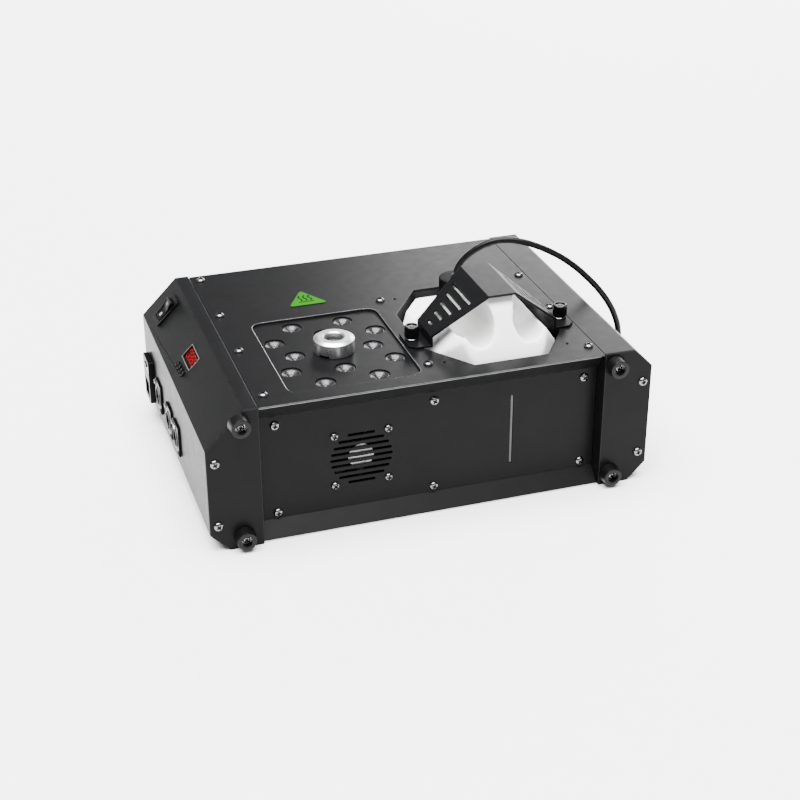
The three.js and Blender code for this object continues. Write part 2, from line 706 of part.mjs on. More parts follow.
function lightPlate() {
  const sheet = prism(lightOutline(LIGHT_MARGIN), 'z', LIGHT_UNDER, LIGHT_TOP);
  const radius = JET_RADIUS + JET_PLATE_CLEARANCE;
  const middle = rod('z', radius, LIGHT_X, LIGHT_Y, LIGHT_UNDER - 1, LIGHT_TOP + 1, 20);
  return cut(sheet, middle, ...lensRods(LENS_HOLE_RADIUS, LIGHT_UNDER - 1, LIGHT_TOP + 1, 20));
}

// One clear moulding: a carrier with twelve lenses that stand in the light plate's holes.
function lensArray() {
  const [low, high] = [CARRIER_UNDER, CARRIER_UNDER + LENS_CARRIER];
  const radius = LENS_HOLE_RADIUS - LENS_CLEARANCE;
  const lenses = lensRods(radius, low + LENS_CARRIER / 2, LIGHT_TOP - LENS_BELOW_PLATE, 20);
  return joined(underLights(low, high), ...lenses);
}

// A flat plate under the lights with a hole for the jet tube.
function underLights(low, high) {
  const outline = rectangle(LIGHT_X, LIGHT_Y, LIGHT_WIDTH, LIGHT_DEPTH);
  const centre = rod('z', JET_FLANGE_RADIUS + JET_SURROUND, LIGHT_X, LIGHT_Y, low - 1, high + 1, 20);
  return cut(prism(outline, 'z', low, high), centre);
}

function nozzleRing() {
  const low = LIGHT_TOP + GAP;
  const high = low + NOZZLE_HEIGHT;
  const chamfer = NOZZLE_RADIUS - NOZZLE_CHAMFER;
  const profile = [
    [NOZZLE_BORE_RADIUS, low], [NOZZLE_RADIUS, low], [NOZZLE_RADIUS, high - NOZZLE_CHAMFER / 2],
    [chamfer, high], [NOZZLE_BORE_RADIUS, high], [NOZZLE_BORE_RADIUS, low],
  ];
  const notches = Array.from({ length: NOZZLE_NOTCHES }, (_, i) => {
    const angle = THREE.MathUtils.degToRad(NOZZLE_NOTCH_FIRST + (360 * i) / NOZZLE_NOTCHES);
    const half = NOZZLE_NOTCH_WIDTH / 2;
    const reach = [NOZZLE_BORE_RADIUS + NOZZLE_NOTCH_INSET, NOZZLE_RADIUS + 2];
    const block = boxGeometry(reach, [-half, half], [low - 1, low + NOZZLE_NOTCH_HEIGHT]);
    return solidOf(block.rotateZ(angle).translate(LIGHT_X, LIGHT_Y, 0));
  });
  return cut(turned(profile, LIGHT_X, LIGHT_Y, 36), ...notches);
}

// The jet tube stands on the heater and ends a little below the ring's top.
function jetTube() {
  const tip = LIGHT_TOP + GAP + NOZZLE_HEIGHT - JET_BELOW_RING;
  const foot = HEATER_TOP + GAP;
  const profile = [
    [JET_BORE_RADIUS, foot], [JET_FLANGE_RADIUS, foot], [JET_FLANGE_RADIUS, foot + JET_FLANGE],
    [JET_RADIUS, foot + JET_FLANGE], [JET_RADIUS, tip - JET_TIP_CHAMFER], [JET_RADIUS - JET_TIP_CHAMFER, tip],
    [JET_BORE_RADIUS, tip], [JET_BORE_RADIUS, foot],
  ];
  return turned(profile, LIGHT_X, LIGHT_Y, 20);
}

function heaterBlock() {
  const [x, y] = [HEATER_LENGTH / 2, HEATER_DEPTH / 2];
  const block = box([LIGHT_X - x, LIGHT_X + x], [LIGHT_Y - y, LIGHT_Y + y], [HEATER_BOTTOM, HEATER_TOP]);
  const grooves = Array.from({ length: HEATER_GROOVES }, (_, i) => {
    const centre = LIGHT_Y + (i - (HEATER_GROOVES - 1) / 2) * HEATER_GROOVE_PITCH;
    const width = [centre - HEATER_GROOVE / 2, centre + HEATER_GROOVE / 2];
    const height = [HEATER_BOTTOM - 1, HEATER_BOTTOM + HEATER_GROOVE_DEPTH];
    return box([LIGHT_X - x - 1, LIGHT_X + x + 1], width, height);
  });
  return cut(block, ...grooves);
}

// A folded saddle that stands on the tray and holds the heater up.
function heaterStand() {
  const top = HEATER_BOTTOM - GAP;
  const low = FLOOR_TOP + GAP + SHEET;
  const half = HEATER_LENGTH / 2 - STAND_INSET_X;
  const line = points([
    [LIGHT_X + half + STAND_FOOT, low], [LIGHT_X + half, low], [LIGHT_X + half, top],
    [LIGHT_X - half, top], [LIGHT_X - half, low], [LIGHT_X - half - STAND_FOOT, low],
  ]);
  const reach = HEATER_DEPTH / 2 - STAND_INSET_Y;
  return prism(sheetSection(line, SHEET), 'y', LIGHT_Y - reach, LIGHT_Y + reach);
}

function thermostat() {
  const x = LIGHT_X - HEATER_LENGTH / 2 + THERMOSTAT_FROM_END;
  const low = HEATER_TOP + GAP;
  const [step, high] = [low + THERMOSTAT_STEP, low + 2 * THERMOSTAT_STEP];
  const profile = [
    [0, low], [THERMOSTAT_RADIUS, low], [THERMOSTAT_RADIUS, step], [THERMOSTAT_NECK_RADIUS, step],
    [THERMOSTAT_NECK_RADIUS, high], [0, high],
  ];
  return turned(profile, x, LIGHT_Y, 16);
}

function addLights(group) {
  place(group, 'light_plate', lightPlate(), 'blackPaint');
  place(group, 'lens_array', lensArray(), 'clearLens');
  place(group, 'light_board', underLights(LIGHT_BOARD_TOP - BOARD, LIGHT_BOARD_TOP), 'circuitBoard');
  place(group, 'nozzle_ring', nozzleRing(), 'brightAluminium');
  place(group, 'jet_tube', jetTube(), 'steel');
  place(group, 'heater_block', heaterBlock(), 'castAluminium');
  place(group, 'heater_stand', heaterStand(), 'steel');
  place(group, 'thermostat', thermostat(), 'blackPlastic');
}

// ---- Tank ---------------------------------------------------------------------------------------------

function tankWell() {
  const [low, high] = [FLOOR_TOP + GAP, TOP_UNDER - GAP];
  const outer = prism(inset(openingOutline(), -WELL_WALL), 'z', low, high);
  const inner = prism(openingOutline(), 'z', WELL_FLOOR, high + 1);
  const front = TANK_Y - OPENING_HALF_Y;
  return cut(outer, inner, sightSlot(SIGHT_WIDTH + 1, front - WELL_WALL - 1, front + 1));
}

// The tank's shape seen from the front: upright sides, then shoulders up to the handle's ridge.
function tankFrontView(bottom) {
  const half = OPENING_HALF_X - TANK_CLEARANCE;
  const ridge = BODY_HEIGHT + RIDGE_ABOVE_TOP;
  const side = [
    [half, bottom], [half, BODY_HEIGHT - SHOULDER_BELOW_TOP],
    ...SIDE_SLANT.map(([inward, above]) => [half - inward, BODY_HEIGHT + above]),
    [RIDGE_TOP_HALF + RIDGE_BEVEL, ridge - RIDGE_BEVEL], [RIDGE_TOP_HALF, ridge],
  ];
  return points([...side, ...side.map(([x, z]) => [-x, z]).reverse()].map(([x, z]) => [TANK_X + x, z]));
}

// The tank's shape seen from the side: a slope at the front, the ridge, and a low deck for the neck.
function tankSideView(bottom) {
  const half = OPENING_HALF_Y - TANK_CLEARANCE;
  const ridge = BODY_HEIGHT + RIDGE_ABOVE_TOP;
  const [bevel, drop] = DECK_REAR_BEVEL;
  const front = FRONT_SLANT.map(([inward, above]) => [inward - half, BODY_HEIGHT + above]);
  const rise = RIDGE_FRONT.map(([inward, above]) => [inward - half, ridge + above]);
  const fall = RIDGE_REAR.map(([behind, above]) => [behind, ridge + above]);
  const rear = [[DECK_FRONT, DECK], [half - bevel, DECK], [half, DECK - drop], [half, bottom]];
  const whole = [[-half, bottom], ...front, ...rise, ...fall, ...rear].reverse();
  return points(whole.map(([y, z]) => [TANK_Y + y, z]));
}

function tankPlan() {
  return rounded(inset(openingOutline(), TANK_CLEARANCE), TANK_CORNER, 4);
}

// The tank's body made smaller by a wall, so that the same shape gives its outside and its inside.
function tankShape(wall) {
  const plan = prism(inset(tankPlan(), wall), 'z', TANK_BOTTOM - 5, BODY_HEIGHT + RIDGE_ABOVE_TOP + 5);
  const far = 2 * (OPENING_HALF_X + OPENING_HALF_Y);
  const front = prism(inset(tankFrontView(TANK_BOTTOM), wall), 'y', TANK_Y - far, TANK_Y + far);
  const side = prism(inset(tankSideView(TANK_BOTTOM), wall), 'x', TANK_X - far, TANK_X + far);
  const grips = [-1, 1].map((i) => ellipsoid(
    [GRIP_REACH + wall, GRIP_LENGTH + wall, GRIP_HEIGHT + wall],
    [TANK_X + i * (RIDGE_HALF_WIDTH + GRIP_REACH), TANK_Y - GRIP_FORWARD, BODY_HEIGHT + GRIP_ABOVE_TOP]));
  return cut(plan.intersect(front).intersect(side), ...grips);
}

function tank() {
  const neck = [DECK - NECK_ROOT, DECK + NECK_HEIGHT];
  const spout = rod('z', NECK_RADIUS, NECK_X, NECK_Y, ...neck, 24);
  const bore = rod('z', NECK_RADIUS - NECK_WALL, NECK_X, NECK_Y, neck[0] - 2, neck[1] + 1, 20);
  return cut(joined(tankShape(0), spout), tankShape(TANK_WALL), bore);
}

function ribbedOutline(radius, ribs, depth, u, v) {
  const steps = 4 * ribs;
  return Array.from({ length: steps }, (_, i) => {
    const angle = (2 * Math.PI * i) / steps;
    const reach = radius - (depth * (1 - Math.cos(ribs * angle))) / 2;
    return new THREE.Vector2(u + reach * Math.cos(angle), v + reach * Math.sin(angle));
  });
}

function tankCap() {
  const outline = ribbedOutline(CAP_RADIUS, CAP_RIBS, CAP_RIB_DEPTH, NECK_X, NECK_Y);
  const bore = NECK_RADIUS + CAP_CLEARANCE;
  const inside = rod('z', bore, NECK_X, NECK_Y, CAP_BOTTOM - 1, CAP_TOP - CAP_WALL, 24);
  return cut(prism(outline, 'z', CAP_BOTTOM, CAP_TOP), inside);
}

function capGrommet() {
  const low = CAP_TOP + GAP;
  return rod('z', GROMMET_RADIUS, NECK_X, NECK_Y, low, low + GROMMET_HEIGHT, 16);
}

function suctionTube() {
  const low = TANK_BOTTOM + TANK_WALL + GAP + FILTER_HEIGHT + GAP;
  const high = CAP_TOP - CAP_WALL - GAP;
  return rod('z', SUCTION_RADIUS, NECK_X, NECK_Y, low, high, 12);
}

function suctionFilter() {
  const low = TANK_BOTTOM + TANK_WALL + GAP;
  return rod('z', FILTER_RADIUS, NECK_X, NECK_Y, low, low + FILTER_HEIGHT, 16);
}

// The strap's section seen from the front, its upper face first, from the right foot to the left.
function strapLine() {
  const [foot, knee] = [STRAP_FOOT_TOP, STRAP_FOOT_TOP + STRAP_KNEE - STRAP];
  const top = BODY_HEIGHT + STRAP_RISE;
  const half = [
    [STRAP_FOOT_END, foot], [STRAP_FOOT_BEND, foot], [STRAP_FOOT_BEND, knee], [STRAP_TOP_HALF, top],
  ];
  return points([...half, ...half.map(([x, z]) => [-x, z]).reverse()].map(([x, z]) => [TANK_X + x, z]));
}

// The strap's outline seen from above: wide over the tank and narrow at the feet.
function strapPlan() {
  const [wide, narrow] = [STRAP_TOP_WIDTH / 2, STRAP_FOOT_WIDTH / 2];
  const quarter = [
    [STRAP_FOOT_END, narrow - STRAP_FOOT_TRIM], [STRAP_FOOT_END - STRAP_FOOT_TRIM, narrow],
    [STRAP_FOOT_BEND, narrow], [STRAP_TOP_HALF, wide],
  ];
  const half = [...quarter, ...quarter.map(([x, y]) => [-x, y]).reverse()];
  const whole = [...half, ...half.map(([x, y]) => [-x, -y])];
  return points(whole.map(([x, y]) => [TANK_X + x, STRAP_Y + y]));
}

function strapSlots() {
  const [low, high] = [BODY_HEIGHT, BODY_HEIGHT + STRAP_RISE + 5];
  const run = STRAP_FOOT_BEND - STRAP_TOP_HALF;
  return [-1, 1].flatMap((side) => Array.from({ length: STRAP_SLOTS }, (_, i) => {
    const inward = (STRAP_SLOT_FIRST + i * STRAP_SLOT_PITCH) * run;
    const x = TANK_X + side * (STRAP_FOOT_BEND - inward);
    const length = STRAP_SLOT_SHORTEST + i * STRAP_SLOT_GROWTH;
    return prism(rectangle(x, STRAP_Y, STRAP_SLOT_WIDTH, length), 'z', low, high);
  }));
}

function tankStrap() {
  const reach = STRAP_TOP_WIDTH / 2 + 1;
  const sheet = prism(sheetSection(strapLine(), STRAP), 'y', STRAP_Y - reach, STRAP_Y + reach);
  const low = BODY_HEIGHT;
  const plan = prism(strapPlan(), 'z', low, BODY_HEIGHT + STRAP_RISE + 5);
  const holes = [-1, 1].map((side) => rod('z', STUD_RADIUS + STUD_CLEARANCE, TANK_X + side * THUMB_X, STRAP_Y,
    low, STRAP_FOOT_TOP + 1, 12));
  return cut(sheet.intersect(plan), ...strapSlots(), ...holes);
}

function collar(side) {
  const low = STRAP_FOOT_TOP + GAP;
  const [x, high] = [TANK_X + side * THUMB_X, low + COLLAR_HEIGHT];
  const disc = rod('z', COLLAR_RADIUS, x, STRAP_Y, low, high, 20);
  return cut(disc, rod('z', STUD_RADIUS + STUD_CLEARANCE, x, STRAP_Y, low - 1, high + 1, 12));
}

function thumbScrew(side) {
  const low = STRAP_FOOT_TOP + GAP + COLLAR_HEIGHT + GAP;
  const x = TANK_X + side * THUMB_X;
  const top = low + THUMB_HEIGHT;
  const head = prism(ribbedOutline(THUMB_RADIUS, THUMB_RIBS, THUMB_RIB_DEPTH, x, STRAP_Y), 'z', low, top);
  const dish = rod('z', THUMB_RADIUS - THUMB_DISH_RIM, x, STRAP_Y, top - THUMB_DISH_DEPTH, top + 1, 16);
  const stud = rod('z', STUD_RADIUS, x, STRAP_Y, BODY_HEIGHT - STUD_BELOW_TOP, low + 1, 12);
  return joined(cut(head, dish), stud);
}

function addTank(group) {
  place(group, 'tank_well', tankWell(), 'blackPaint');
  place(group, 'tank', tank(), 'tankPlastic');
  place(group, 'tank_cap', tankCap(), 'blackPlastic');
  place(group, 'cap_grommet', capGrommet(), 'rubber');
  place(group, 'suction_tube', suctionTube(), 'clearTube');
  place(group, 'suction_filter', suctionFilter(), 'steel');
  place(group, 'tank_strap', tankStrap(), 'blackPaint');
  place(group, 'collar_left', collar(-1), 'steel');
  place(group, 'collar_right', collar(1), 'steel');
  place(group, 'thumb_screw_left', thumbScrew(-1), 'blackPlastic');
  place(group, 'thumb_screw_right', thumbScrew(1), 'blackPlastic');
}

// ---- Fan ----------------------------------------------------------------------------------------------

const FAN_FRONT = PANEL_INSIDE + GAP;
const FAN_BACK = FAN_FRONT + FAN_DEPTH;

function fanFrame() {
  const [x, z] = [FAN_X, FAN_CENTRE_HEIGHT];
  const square = rounded(rectangle(x, z, FAN_SIZE, FAN_SIZE), FAN_CORNER, 2);
  const shell = cut(prism(square, 'y', FAN_FRONT, FAN_BACK),
    rod('y', FAN_BORE_RADIUS, x, z, FAN_FRONT - 1, FAN_BACK + 1, 32));
  const half = FAN_SCREW_PITCH / 2;
  const rear = [FAN_BACK - FAN_STRUT, FAN_BACK];
  const holes = [[-1, -1], [1, -1], [1, 1], [-1, 1]].map(([i, j]) =>
    rod('y', FAN_SCREW_RADIUS, x + i * half, z + j * half, FAN_FRONT - 1, FAN_BACK + 1, 8));
  const motor = rod('y', FAN_HUB_RADIUS, x, z, ...rear, 20);
  const [across, thin] = [FAN_BORE_RADIUS + 0.5, FAN_STRUT / 2];
  const struts = [
    box([x - across, x + across], rear, [z - thin, z + thin]),
    box([x - thin, x + thin], rear, [z - across, z + across]),
  ];
  return joined(cut(shell, ...holes), motor, ...struts);
}

function fanRotor() {
  const [x, z] = [FAN_X, FAN_CENTRE_HEIGHT];
  const [low, high] = [FAN_FRONT + FAN_ROTOR_INSET, FAN_BACK - FAN_STRUT - FAN_ROTOR_CLEARANCE];
  const hub = rod('y', FAN_HUB_RADIUS, x, z, low, high, 24);
  const tip = FAN_BORE_RADIUS - FAN_TIP_CLEARANCE;
  const blades = Array.from({ length: FAN_BLADES }, (_, i) => {
    const blade = new THREE.BoxGeometry(tip - FAN_HUB_RADIUS + 1, FAN_BLADE, FAN_BLADE_WIDTH);
    blade.rotateX(THREE.MathUtils.degToRad(FAN_BLADE_PITCH));
    blade.translate((tip + FAN_HUB_RADIUS - 1) / 2, 0, 0);
    blade.rotateY((2 * Math.PI * i) / FAN_BLADES);
    return solidOf(blade.translate(x, (low + high) / 2, z));
  });
  const sweep = rod('y', tip, x, z, low + FAN_BLADE / 2, high, 32);
  return joined(hub, ...blades.map((blade) => blade.intersect(sweep)));
}

function addFan(group) {
  place(group, 'fan_frame', fanFrame(), 'blackPlastic');
  place(group, 'fan_rotor', fanRotor(), 'blackPlastic');
}

// ---- Controls -----------------------------------------------------------------------------------------

// The slope's own frame: X climbs the slope, Y runs to the rear, Z points out of it.
const SLOPE = new THREE.Matrix4().makeRotationY(-Math.PI / 4)
  .setPosition(LEFT, 0, BODY_HEIGHT - CONTROL_CUT);
const SWITCH_V = FRONT + SWITCH_FROM_FRONT;
const DISPLAY_V = FRONT + DISPLAY_FROM_FRONT;
const BUTTON_PLACES = Array.from({ length: BUTTONS },
  (_, i) => DISPLAY_V + (i - (BUTTONS - 1) / 2) * (2 * BUTTON_RADIUS + BUTTON_SPACE));

function slopeCut(outline, low = -SHEET - 1, high = 1) {
  return solidOf(prismGeometry(outline, 'z', low, high).applyMatrix4(SLOPE));
}

function leftCoverCuts() {
  const housing = [SWITCH_LENGTH - 2 * SWITCH_RIM + 2 * GAP, SWITCH_WIDTH - 2 * SWITCH_RIM + 2 * GAP];
  const clear = 2 * DISPLAY_CLEARANCE;
  const buttonHole = BUTTON_RADIUS + BUTTON_CLEARANCE;
  const controls = [
    slopeCut(rectangle(SWITCH_U, SWITCH_V, ...housing)),
    slopeCut(rectangle(DISPLAY_U, DISPLAY_V, DISPLAY_WIDTH + clear, DISPLAY_LENGTH + clear)),
    ...BUTTON_PLACES.map((v) => slopeCut(circle(buttonHole, BUTTON_U, v, BUTTON_SIDES))),
  ];
  const hole = SOCKET_BODY_RADIUS + SOCKET_CLEARANCE;
  const sockets = SOCKETS_FROM_FRONT.map((from) =>
    rod('x', hole, FRONT + from, SOCKET_HEIGHT, LEFT - 1, LEFT + SHEET + 1, 24));
  const inletBody = inset(inletBodyOutline(), -GAP);
  return [...controls, ...sockets, prism(inletBody, 'x', LEFT - 1, LEFT + SHEET + 1)];
}

// A bezel on the slope with an open box behind it for the rocker.
function switchHousing() {
  const [u, v] = [SWITCH_U, SWITCH_V];
  const bezel = prism(rectangle(u, v, SWITCH_LENGTH, SWITCH_WIDTH), 'z', GAP, GAP + SWITCH_BEZEL);
  const [length, width] = [SWITCH_LENGTH - 2 * SWITCH_RIM, SWITCH_WIDTH - 2 * SWITCH_RIM];
  const body = prism(rectangle(u, v, length, width), 'z', -SWITCH_DEPTH, GAP + SWITCH_BEZEL);
  const inside = rectangle(u, v, length - 2 * SWITCH_WALL, width - 2 * SWITCH_WALL);
  const well = prism(inside, 'z', -SWITCH_DEPTH + SWITCH_FLOOR, GAP + SWITCH_BEZEL + 1);
  return cut(joined(bezel, body), well);
}

// The rocker at rest with its lower end, marked off, pressed in. Its pivot runs to the rear.
function rocker() {
  const edge = SWITCH_RIM + SWITCH_WALL + ROCKER_CLEARANCE;
  const half = SWITCH_LENGTH / 2 - edge;
  const tilt = THREE.MathUtils.degToRad(ROCKER_TILT);
  const rise = half * Math.tan(tilt);
  const section = points([
    [-half, -ROCKER_BODY], [half, -ROCKER_BODY], [half, rise], [0, 0], [-half, rise],
  ].map(([x, z]) => [x * Math.cos(tilt), z]));
  const wide = SWITCH_WIDTH / 2 - edge;
  const geometry = prismGeometry(section, 'y', -wide, wide);
  geometry.rotateY(-tilt);
  return solidOf(geometry.translate(SWITCH_U, SWITCH_V, GAP + SWITCH_BEZEL));
}

function display() {
  const outline = rectangle(DISPLAY_U, DISPLAY_V, DISPLAY_WIDTH, DISPLAY_LENGTH);
  return prism(outline, 'z', -DISPLAY_RECESS - DISPLAY_DEPTH + GAP, -DISPLAY_RECESS);
}

function controlBoard() {
  const middle = DISPLAY_U - CONTROL_BOARD_DOWN;
  const outline = rectangle(middle, DISPLAY_V, CONTROL_BOARD_WIDTH, CONTROL_BOARD_LENGTH);
  return prism(outline, 'z', -CONTROL_BOARD_BELOW - BOARD - GAP, -CONTROL_BOARD_BELOW - GAP);
}

// A round key with a flange that keeps it behind the sheet; it stops above the board when pressed.
function button(v) {
  const flangeTop = -SHEET - GAP;
  const round = (radius, low, high) => prism(circle(radius, BUTTON_U, v, BUTTON_SIDES), 'z', low, high);
  const key = round(BUTTON_RADIUS, flangeTop - BUTTON_FLANGE, BUTTON_PROUD);
  const flange = round(BUTTON_RADIUS + BUTTON_FLANGE_REACH, flangeTop - BUTTON_FLANGE, flangeTop);
  const stemLow = -CONTROL_BOARD_BELOW + BUTTON_TRAVEL + GAP;
  return joined(key, flange, round(BUTTON_RADIUS - BUTTON_STEM_INSET, stemLow, flangeTop));
}

function addControls(group) {
  const slope = new THREE.Group();
  slope.position.set(LEFT, 0, BODY_HEIGHT - CONTROL_CUT);
  slope.rotation.y = -Math.PI / 4;
  place(slope, 'switch_housing', switchHousing(), 'blackPlastic');
  place(slope, 'rocker', rocker(), 'blackPlastic');
  place(slope, 'display', display(), 'redDisplay');
  place(slope, 'control_board', controlBoard(), 'circuitBoard');
  BUTTON_PLACES.forEach((v, i) => place(slope, `button_${i + 1}`, button(v), 'blackPlastic'));
  group.add(slope);
}

// ---- Sockets ------------------------------------------------------------------------------------------

function pinPlaces(y) {
  return [90, 210, 330].map((degrees) => {
    const angle = THREE.MathUtils.degToRad(degrees);
    return [y + PIN_CIRCLE_RADIUS * Math.cos(angle), SOCKET_HEIGHT + PIN_CIRCLE_RADIUS * Math.sin(angle)];
  });
}

// A round panel socket: three pins in a cup, or a plug-in face with three holes.
function signalSocket(fromFront, withPins) {
  const y = FRONT + fromFront;
  const face = LEFT - GAP - SOCKET_FLANGE;
  const inside = LEFT + SOCKET_BODY_DEPTH;
  const outline = rectangle(y, SOCKET_HEIGHT, SOCKET_FLANGE_WIDTH, SOCKET_FLANGE_HEIGHT);
  const flange = prism(rounded(outline, SOCKET_CORNER, 2), 'x', face, LEFT - GAP);
  const round = (radius, low, high) => rod('x', radius, y, SOCKET_HEIGHT, low, high, 24);
  const shell = joined(flange, round(SOCKET_BODY_RADIUS, face + SOCKET_FLANGE / 2, inside));
  const floor = face + SOCKET_BORE_DEPTH;
  const cup = cut(shell, round(SOCKET_BORE_RADIUS, face - 1, floor));
  const pins = (radius, low, high) => pinPlaces(y).map(([v, w]) => rod('x', radius, v, w, low, high, 8));
  if (withPins) return joined(cup, ...pins(PIN_RADIUS, face + PIN_BELOW, floor + 1));
  const insert = round(SOCKET_BORE_RADIUS - SOCKET_INSERT_GAP, face + SOCKET_INSERT_BELOW, floor + 1);
  return joined(cup, cut(insert, ...pins(PIN_RADIUS + PIN_HOLE_CLEARANCE, face - 1, face + PIN_HOLE_DEPTH)));
}

// Mains inlet with a cavity for the plug and, above it, a drawer for the fuse.
function powerInlet() {
  const y = FRONT + INLET_FROM_FRONT;
  const face = LEFT - GAP - INLET_PROUD;
  const outline = rectangle(y, SOCKET_HEIGHT, INLET_WIDTH, INLET_HEIGHT);
  const flange = prism(rounded(outline, INLET_CORNER, 2), 'x', face, LEFT - GAP);
  const block = joined(flange, prism(inletBodyOutline(), 'x', face + 1, LEFT + INLET_BODY_DEPTH));
  const floor = face + INLET_CAVITY_DEPTH;
  const cavity = rectangle(y, inletCavityZ(), INLET_CAVITY_WIDTH, INLET_CAVITY_HEIGHT);
  const drawer = rectangle(y, fuseZ(), FUSE_WIDTH, FUSE_HEIGHT);
  const blades = INLET_BLADES.map(([i, j]) => rectangle(
    y + i, inletCavityZ() + j, INLET_BLADE_WIDTH, INLET_BLADE_HEIGHT));
  return joined(
    cut(block, prism(cavity, 'x', face - 1, floor), prism(drawer, 'x', face - 1, face + FUSE_DEPTH)),
    ...blades.map((blade) => prism(blade, 'x', face + INLET_BLADE_BELOW, floor + 1)));
}

function inletBodyOutline() {
  const outline = rectangle(FRONT + INLET_FROM_FRONT, SOCKET_HEIGHT, INLET_WIDTH, INLET_HEIGHT);
  return inset(outline, INLET_FLANGE_REACH);
}

function inletCavityZ() {
  return SOCKET_HEIGHT - INLET_HEIGHT / 2 + INLET_CAVITY_EDGE + INLET_CAVITY_HEIGHT / 2;
}

function fuseZ() {
  return SOCKET_HEIGHT + INLET_HEIGHT / 2 - FUSE_EDGE - FUSE_HEIGHT / 2;
}

function fuseDrawer() {
  const [y, face] = [FRONT + INLET_FROM_FRONT, LEFT - GAP - INLET_PROUD];
  const outline = inset(rectangle(y, fuseZ(), FUSE_WIDTH, FUSE_HEIGHT), FUSE_CLEARANCE);
  const lipHeight = [fuseZ() + FUSE_LIP_RISE, fuseZ() + FUSE_HEIGHT / 2 - FUSE_CLEARANCE];
  const lipWidth = [y - FUSE_LIP_HALF, y + FUSE_LIP_HALF];
  const lip = box([face - FUSE_LIP_OUT, face + FUSE_LIP_IN], lipWidth, lipHeight);
  return joined(prism(outline, 'x', face + FUSE_BELOW, face + FUSE_DEPTH - FUSE_CLEARANCE), lip);
}

function addSockets(group) {
  place(group, 'power_inlet', powerInlet(), 'blackPlastic');
  place(group, 'fuse_drawer', fuseDrawer(), 'blackPlastic');
  const [remote, input, output] = SOCKETS_FROM_FRONT;
  place(group, 'remote_socket', signalSocket(remote, false), 'blackPlastic');
  place(group, 'signal_in_socket', signalSocket(input, true), 'blackPlastic');
  place(group, 'signal_out_socket', signalSocket(output, false), 'blackPlastic');
}

// ---- Pump and pipes -----------------------------------------------------------------------------------

const PUMP_X = LEFT + PUMP_FROM_LEFT;
const PUMP_Y = BACK - PUMP_FROM_REAR;
const INLET_GROMMET_END = RIGHT - SHEET - INLET_GROMMET_INSIDE;

function inletGrommetHole() {
  const radius = INLET_GROMMET_RADIUS - INLET_GROMMET_LIP;
  return rod('x', radius, INLET_GROMMET_Y, INLET_GROMMET_HEIGHT, RIGHT - SHEET - 1, RIGHT + 1, 16);
}

function inletGrommet() {
  const [y, z] = [INLET_GROMMET_Y, INLET_GROMMET_HEIGHT];
  return joined(
    rod('x', INLET_GROMMET_RADIUS, y, z, RIGHT + GAP, RIGHT + INLET_GROMMET_PROUD, 16),
    rod('x', INLET_GROMMET_RADIUS - INLET_GROMMET_LIP - GAP, y, z, INLET_GROMMET_END, RIGHT + GAP + 1, 16));
}

function hose() {
  return bentRod(smoothPath(HOSE_ROUTE), HOSE_RADIUS, HOSE_SIDES, HOSE_STEPS);
}

// From the grommet, round the back of the tank well, to the pump.
function feedTube() {
  const start = INLET_GROMMET_END - GAP;
  const end = PUMP_X + COIL_LENGTH / 2 + GAP + PUMP_PORT_REACH;
  const behind = TANK_Y + OPENING_HALF_Y + WELL_WALL + 18;
  const route = [
    [start, INLET_GROMMET_Y, INLET_GROMMET_HEIGHT], [start - 12, INLET_GROMMET_Y, INLET_GROMMET_HEIGHT],
    [start - 24, INLET_GROMMET_Y + 18, INLET_GROMMET_HEIGHT - 2], [start - 34, behind - 14, PUMP_HEIGHT],
    [start - 62, behind + 4, PUMP_HEIGHT], [TANK_X, behind + 6, PUMP_HEIGHT],
    [end + 34, PUMP_Y - 3, PUMP_HEIGHT], [end + 14, PUMP_Y, PUMP_HEIGHT], [end, PUMP_Y, PUMP_HEIGHT],
  ];
  return bentRod(smoothPath(route), FEED_RADIUS, 8, 44);
}

// The coil is an open sleeve, so the plunger can run in it from end to end.
function pumpCoil() {
  const half = COIL_SIZE / 2;
  const [low, high] = [PUMP_X - COIL_LENGTH / 2, PUMP_X + COIL_LENGTH / 2];
  const frame = box([low, high], [PUMP_Y - half, PUMP_Y + half], [PUMP_HEIGHT - half, PUMP_HEIGHT + half]);
  const bore = rod('x', CORE_RADIUS, PUMP_Y, PUMP_HEIGHT, low - 1, high + 1, 16);
  return cut(frame, bore);
}

function pumpEnd(side) {
  const inner = PUMP_X + side * (COIL_LENGTH / 2 + GAP);
  const span = (near, far) => [inner + side * near, inner + side * far].sort((a, b) => a - b);
  const flange = rod('x', PUMP_END_RADIUS, PUMP_Y, PUMP_HEIGHT, ...span(0, PUMP_END), 16);
  const reach = span(PUMP_END - 1, PUMP_PORT_REACH - GAP);
  const port = rod('x', PUMP_PORT_RADIUS, PUMP_Y, PUMP_HEIGHT, ...reach, 12);
  return joined(flange, port);
}

function plunger() {
  const low = PUMP_X - COIL_LENGTH / 2 + SPRING_LENGTH + GAP;
  return rod('x', PLUNGER_RADIUS, PUMP_Y, PUMP_HEIGHT, low, low + PLUNGER_LENGTH, 16);
}

// A coil spring along the bore, between the outlet end and the plunger.
function pumpSpring() {
  const low = PUMP_X - COIL_LENGTH / 2 + SPRING_WIRE + GAP;
  const high = PUMP_X - COIL_LENGTH / 2 + SPRING_LENGTH - SPRING_WIRE - GAP;
  const steps = 10 * SPRING_TURNS;
  const route = Array.from({ length: steps + 1 }, (_, i) => {
    const angle = (2 * Math.PI * i) / 10;
    return [
      low + ((high - low) * i) / steps,
      PUMP_Y + SPRING_RADIUS * Math.cos(angle),
      PUMP_HEIGHT + SPRING_RADIUS * Math.sin(angle),
    ];
  });
  return bentRod(smoothPath(route), SPRING_WIRE, 5, steps);
}

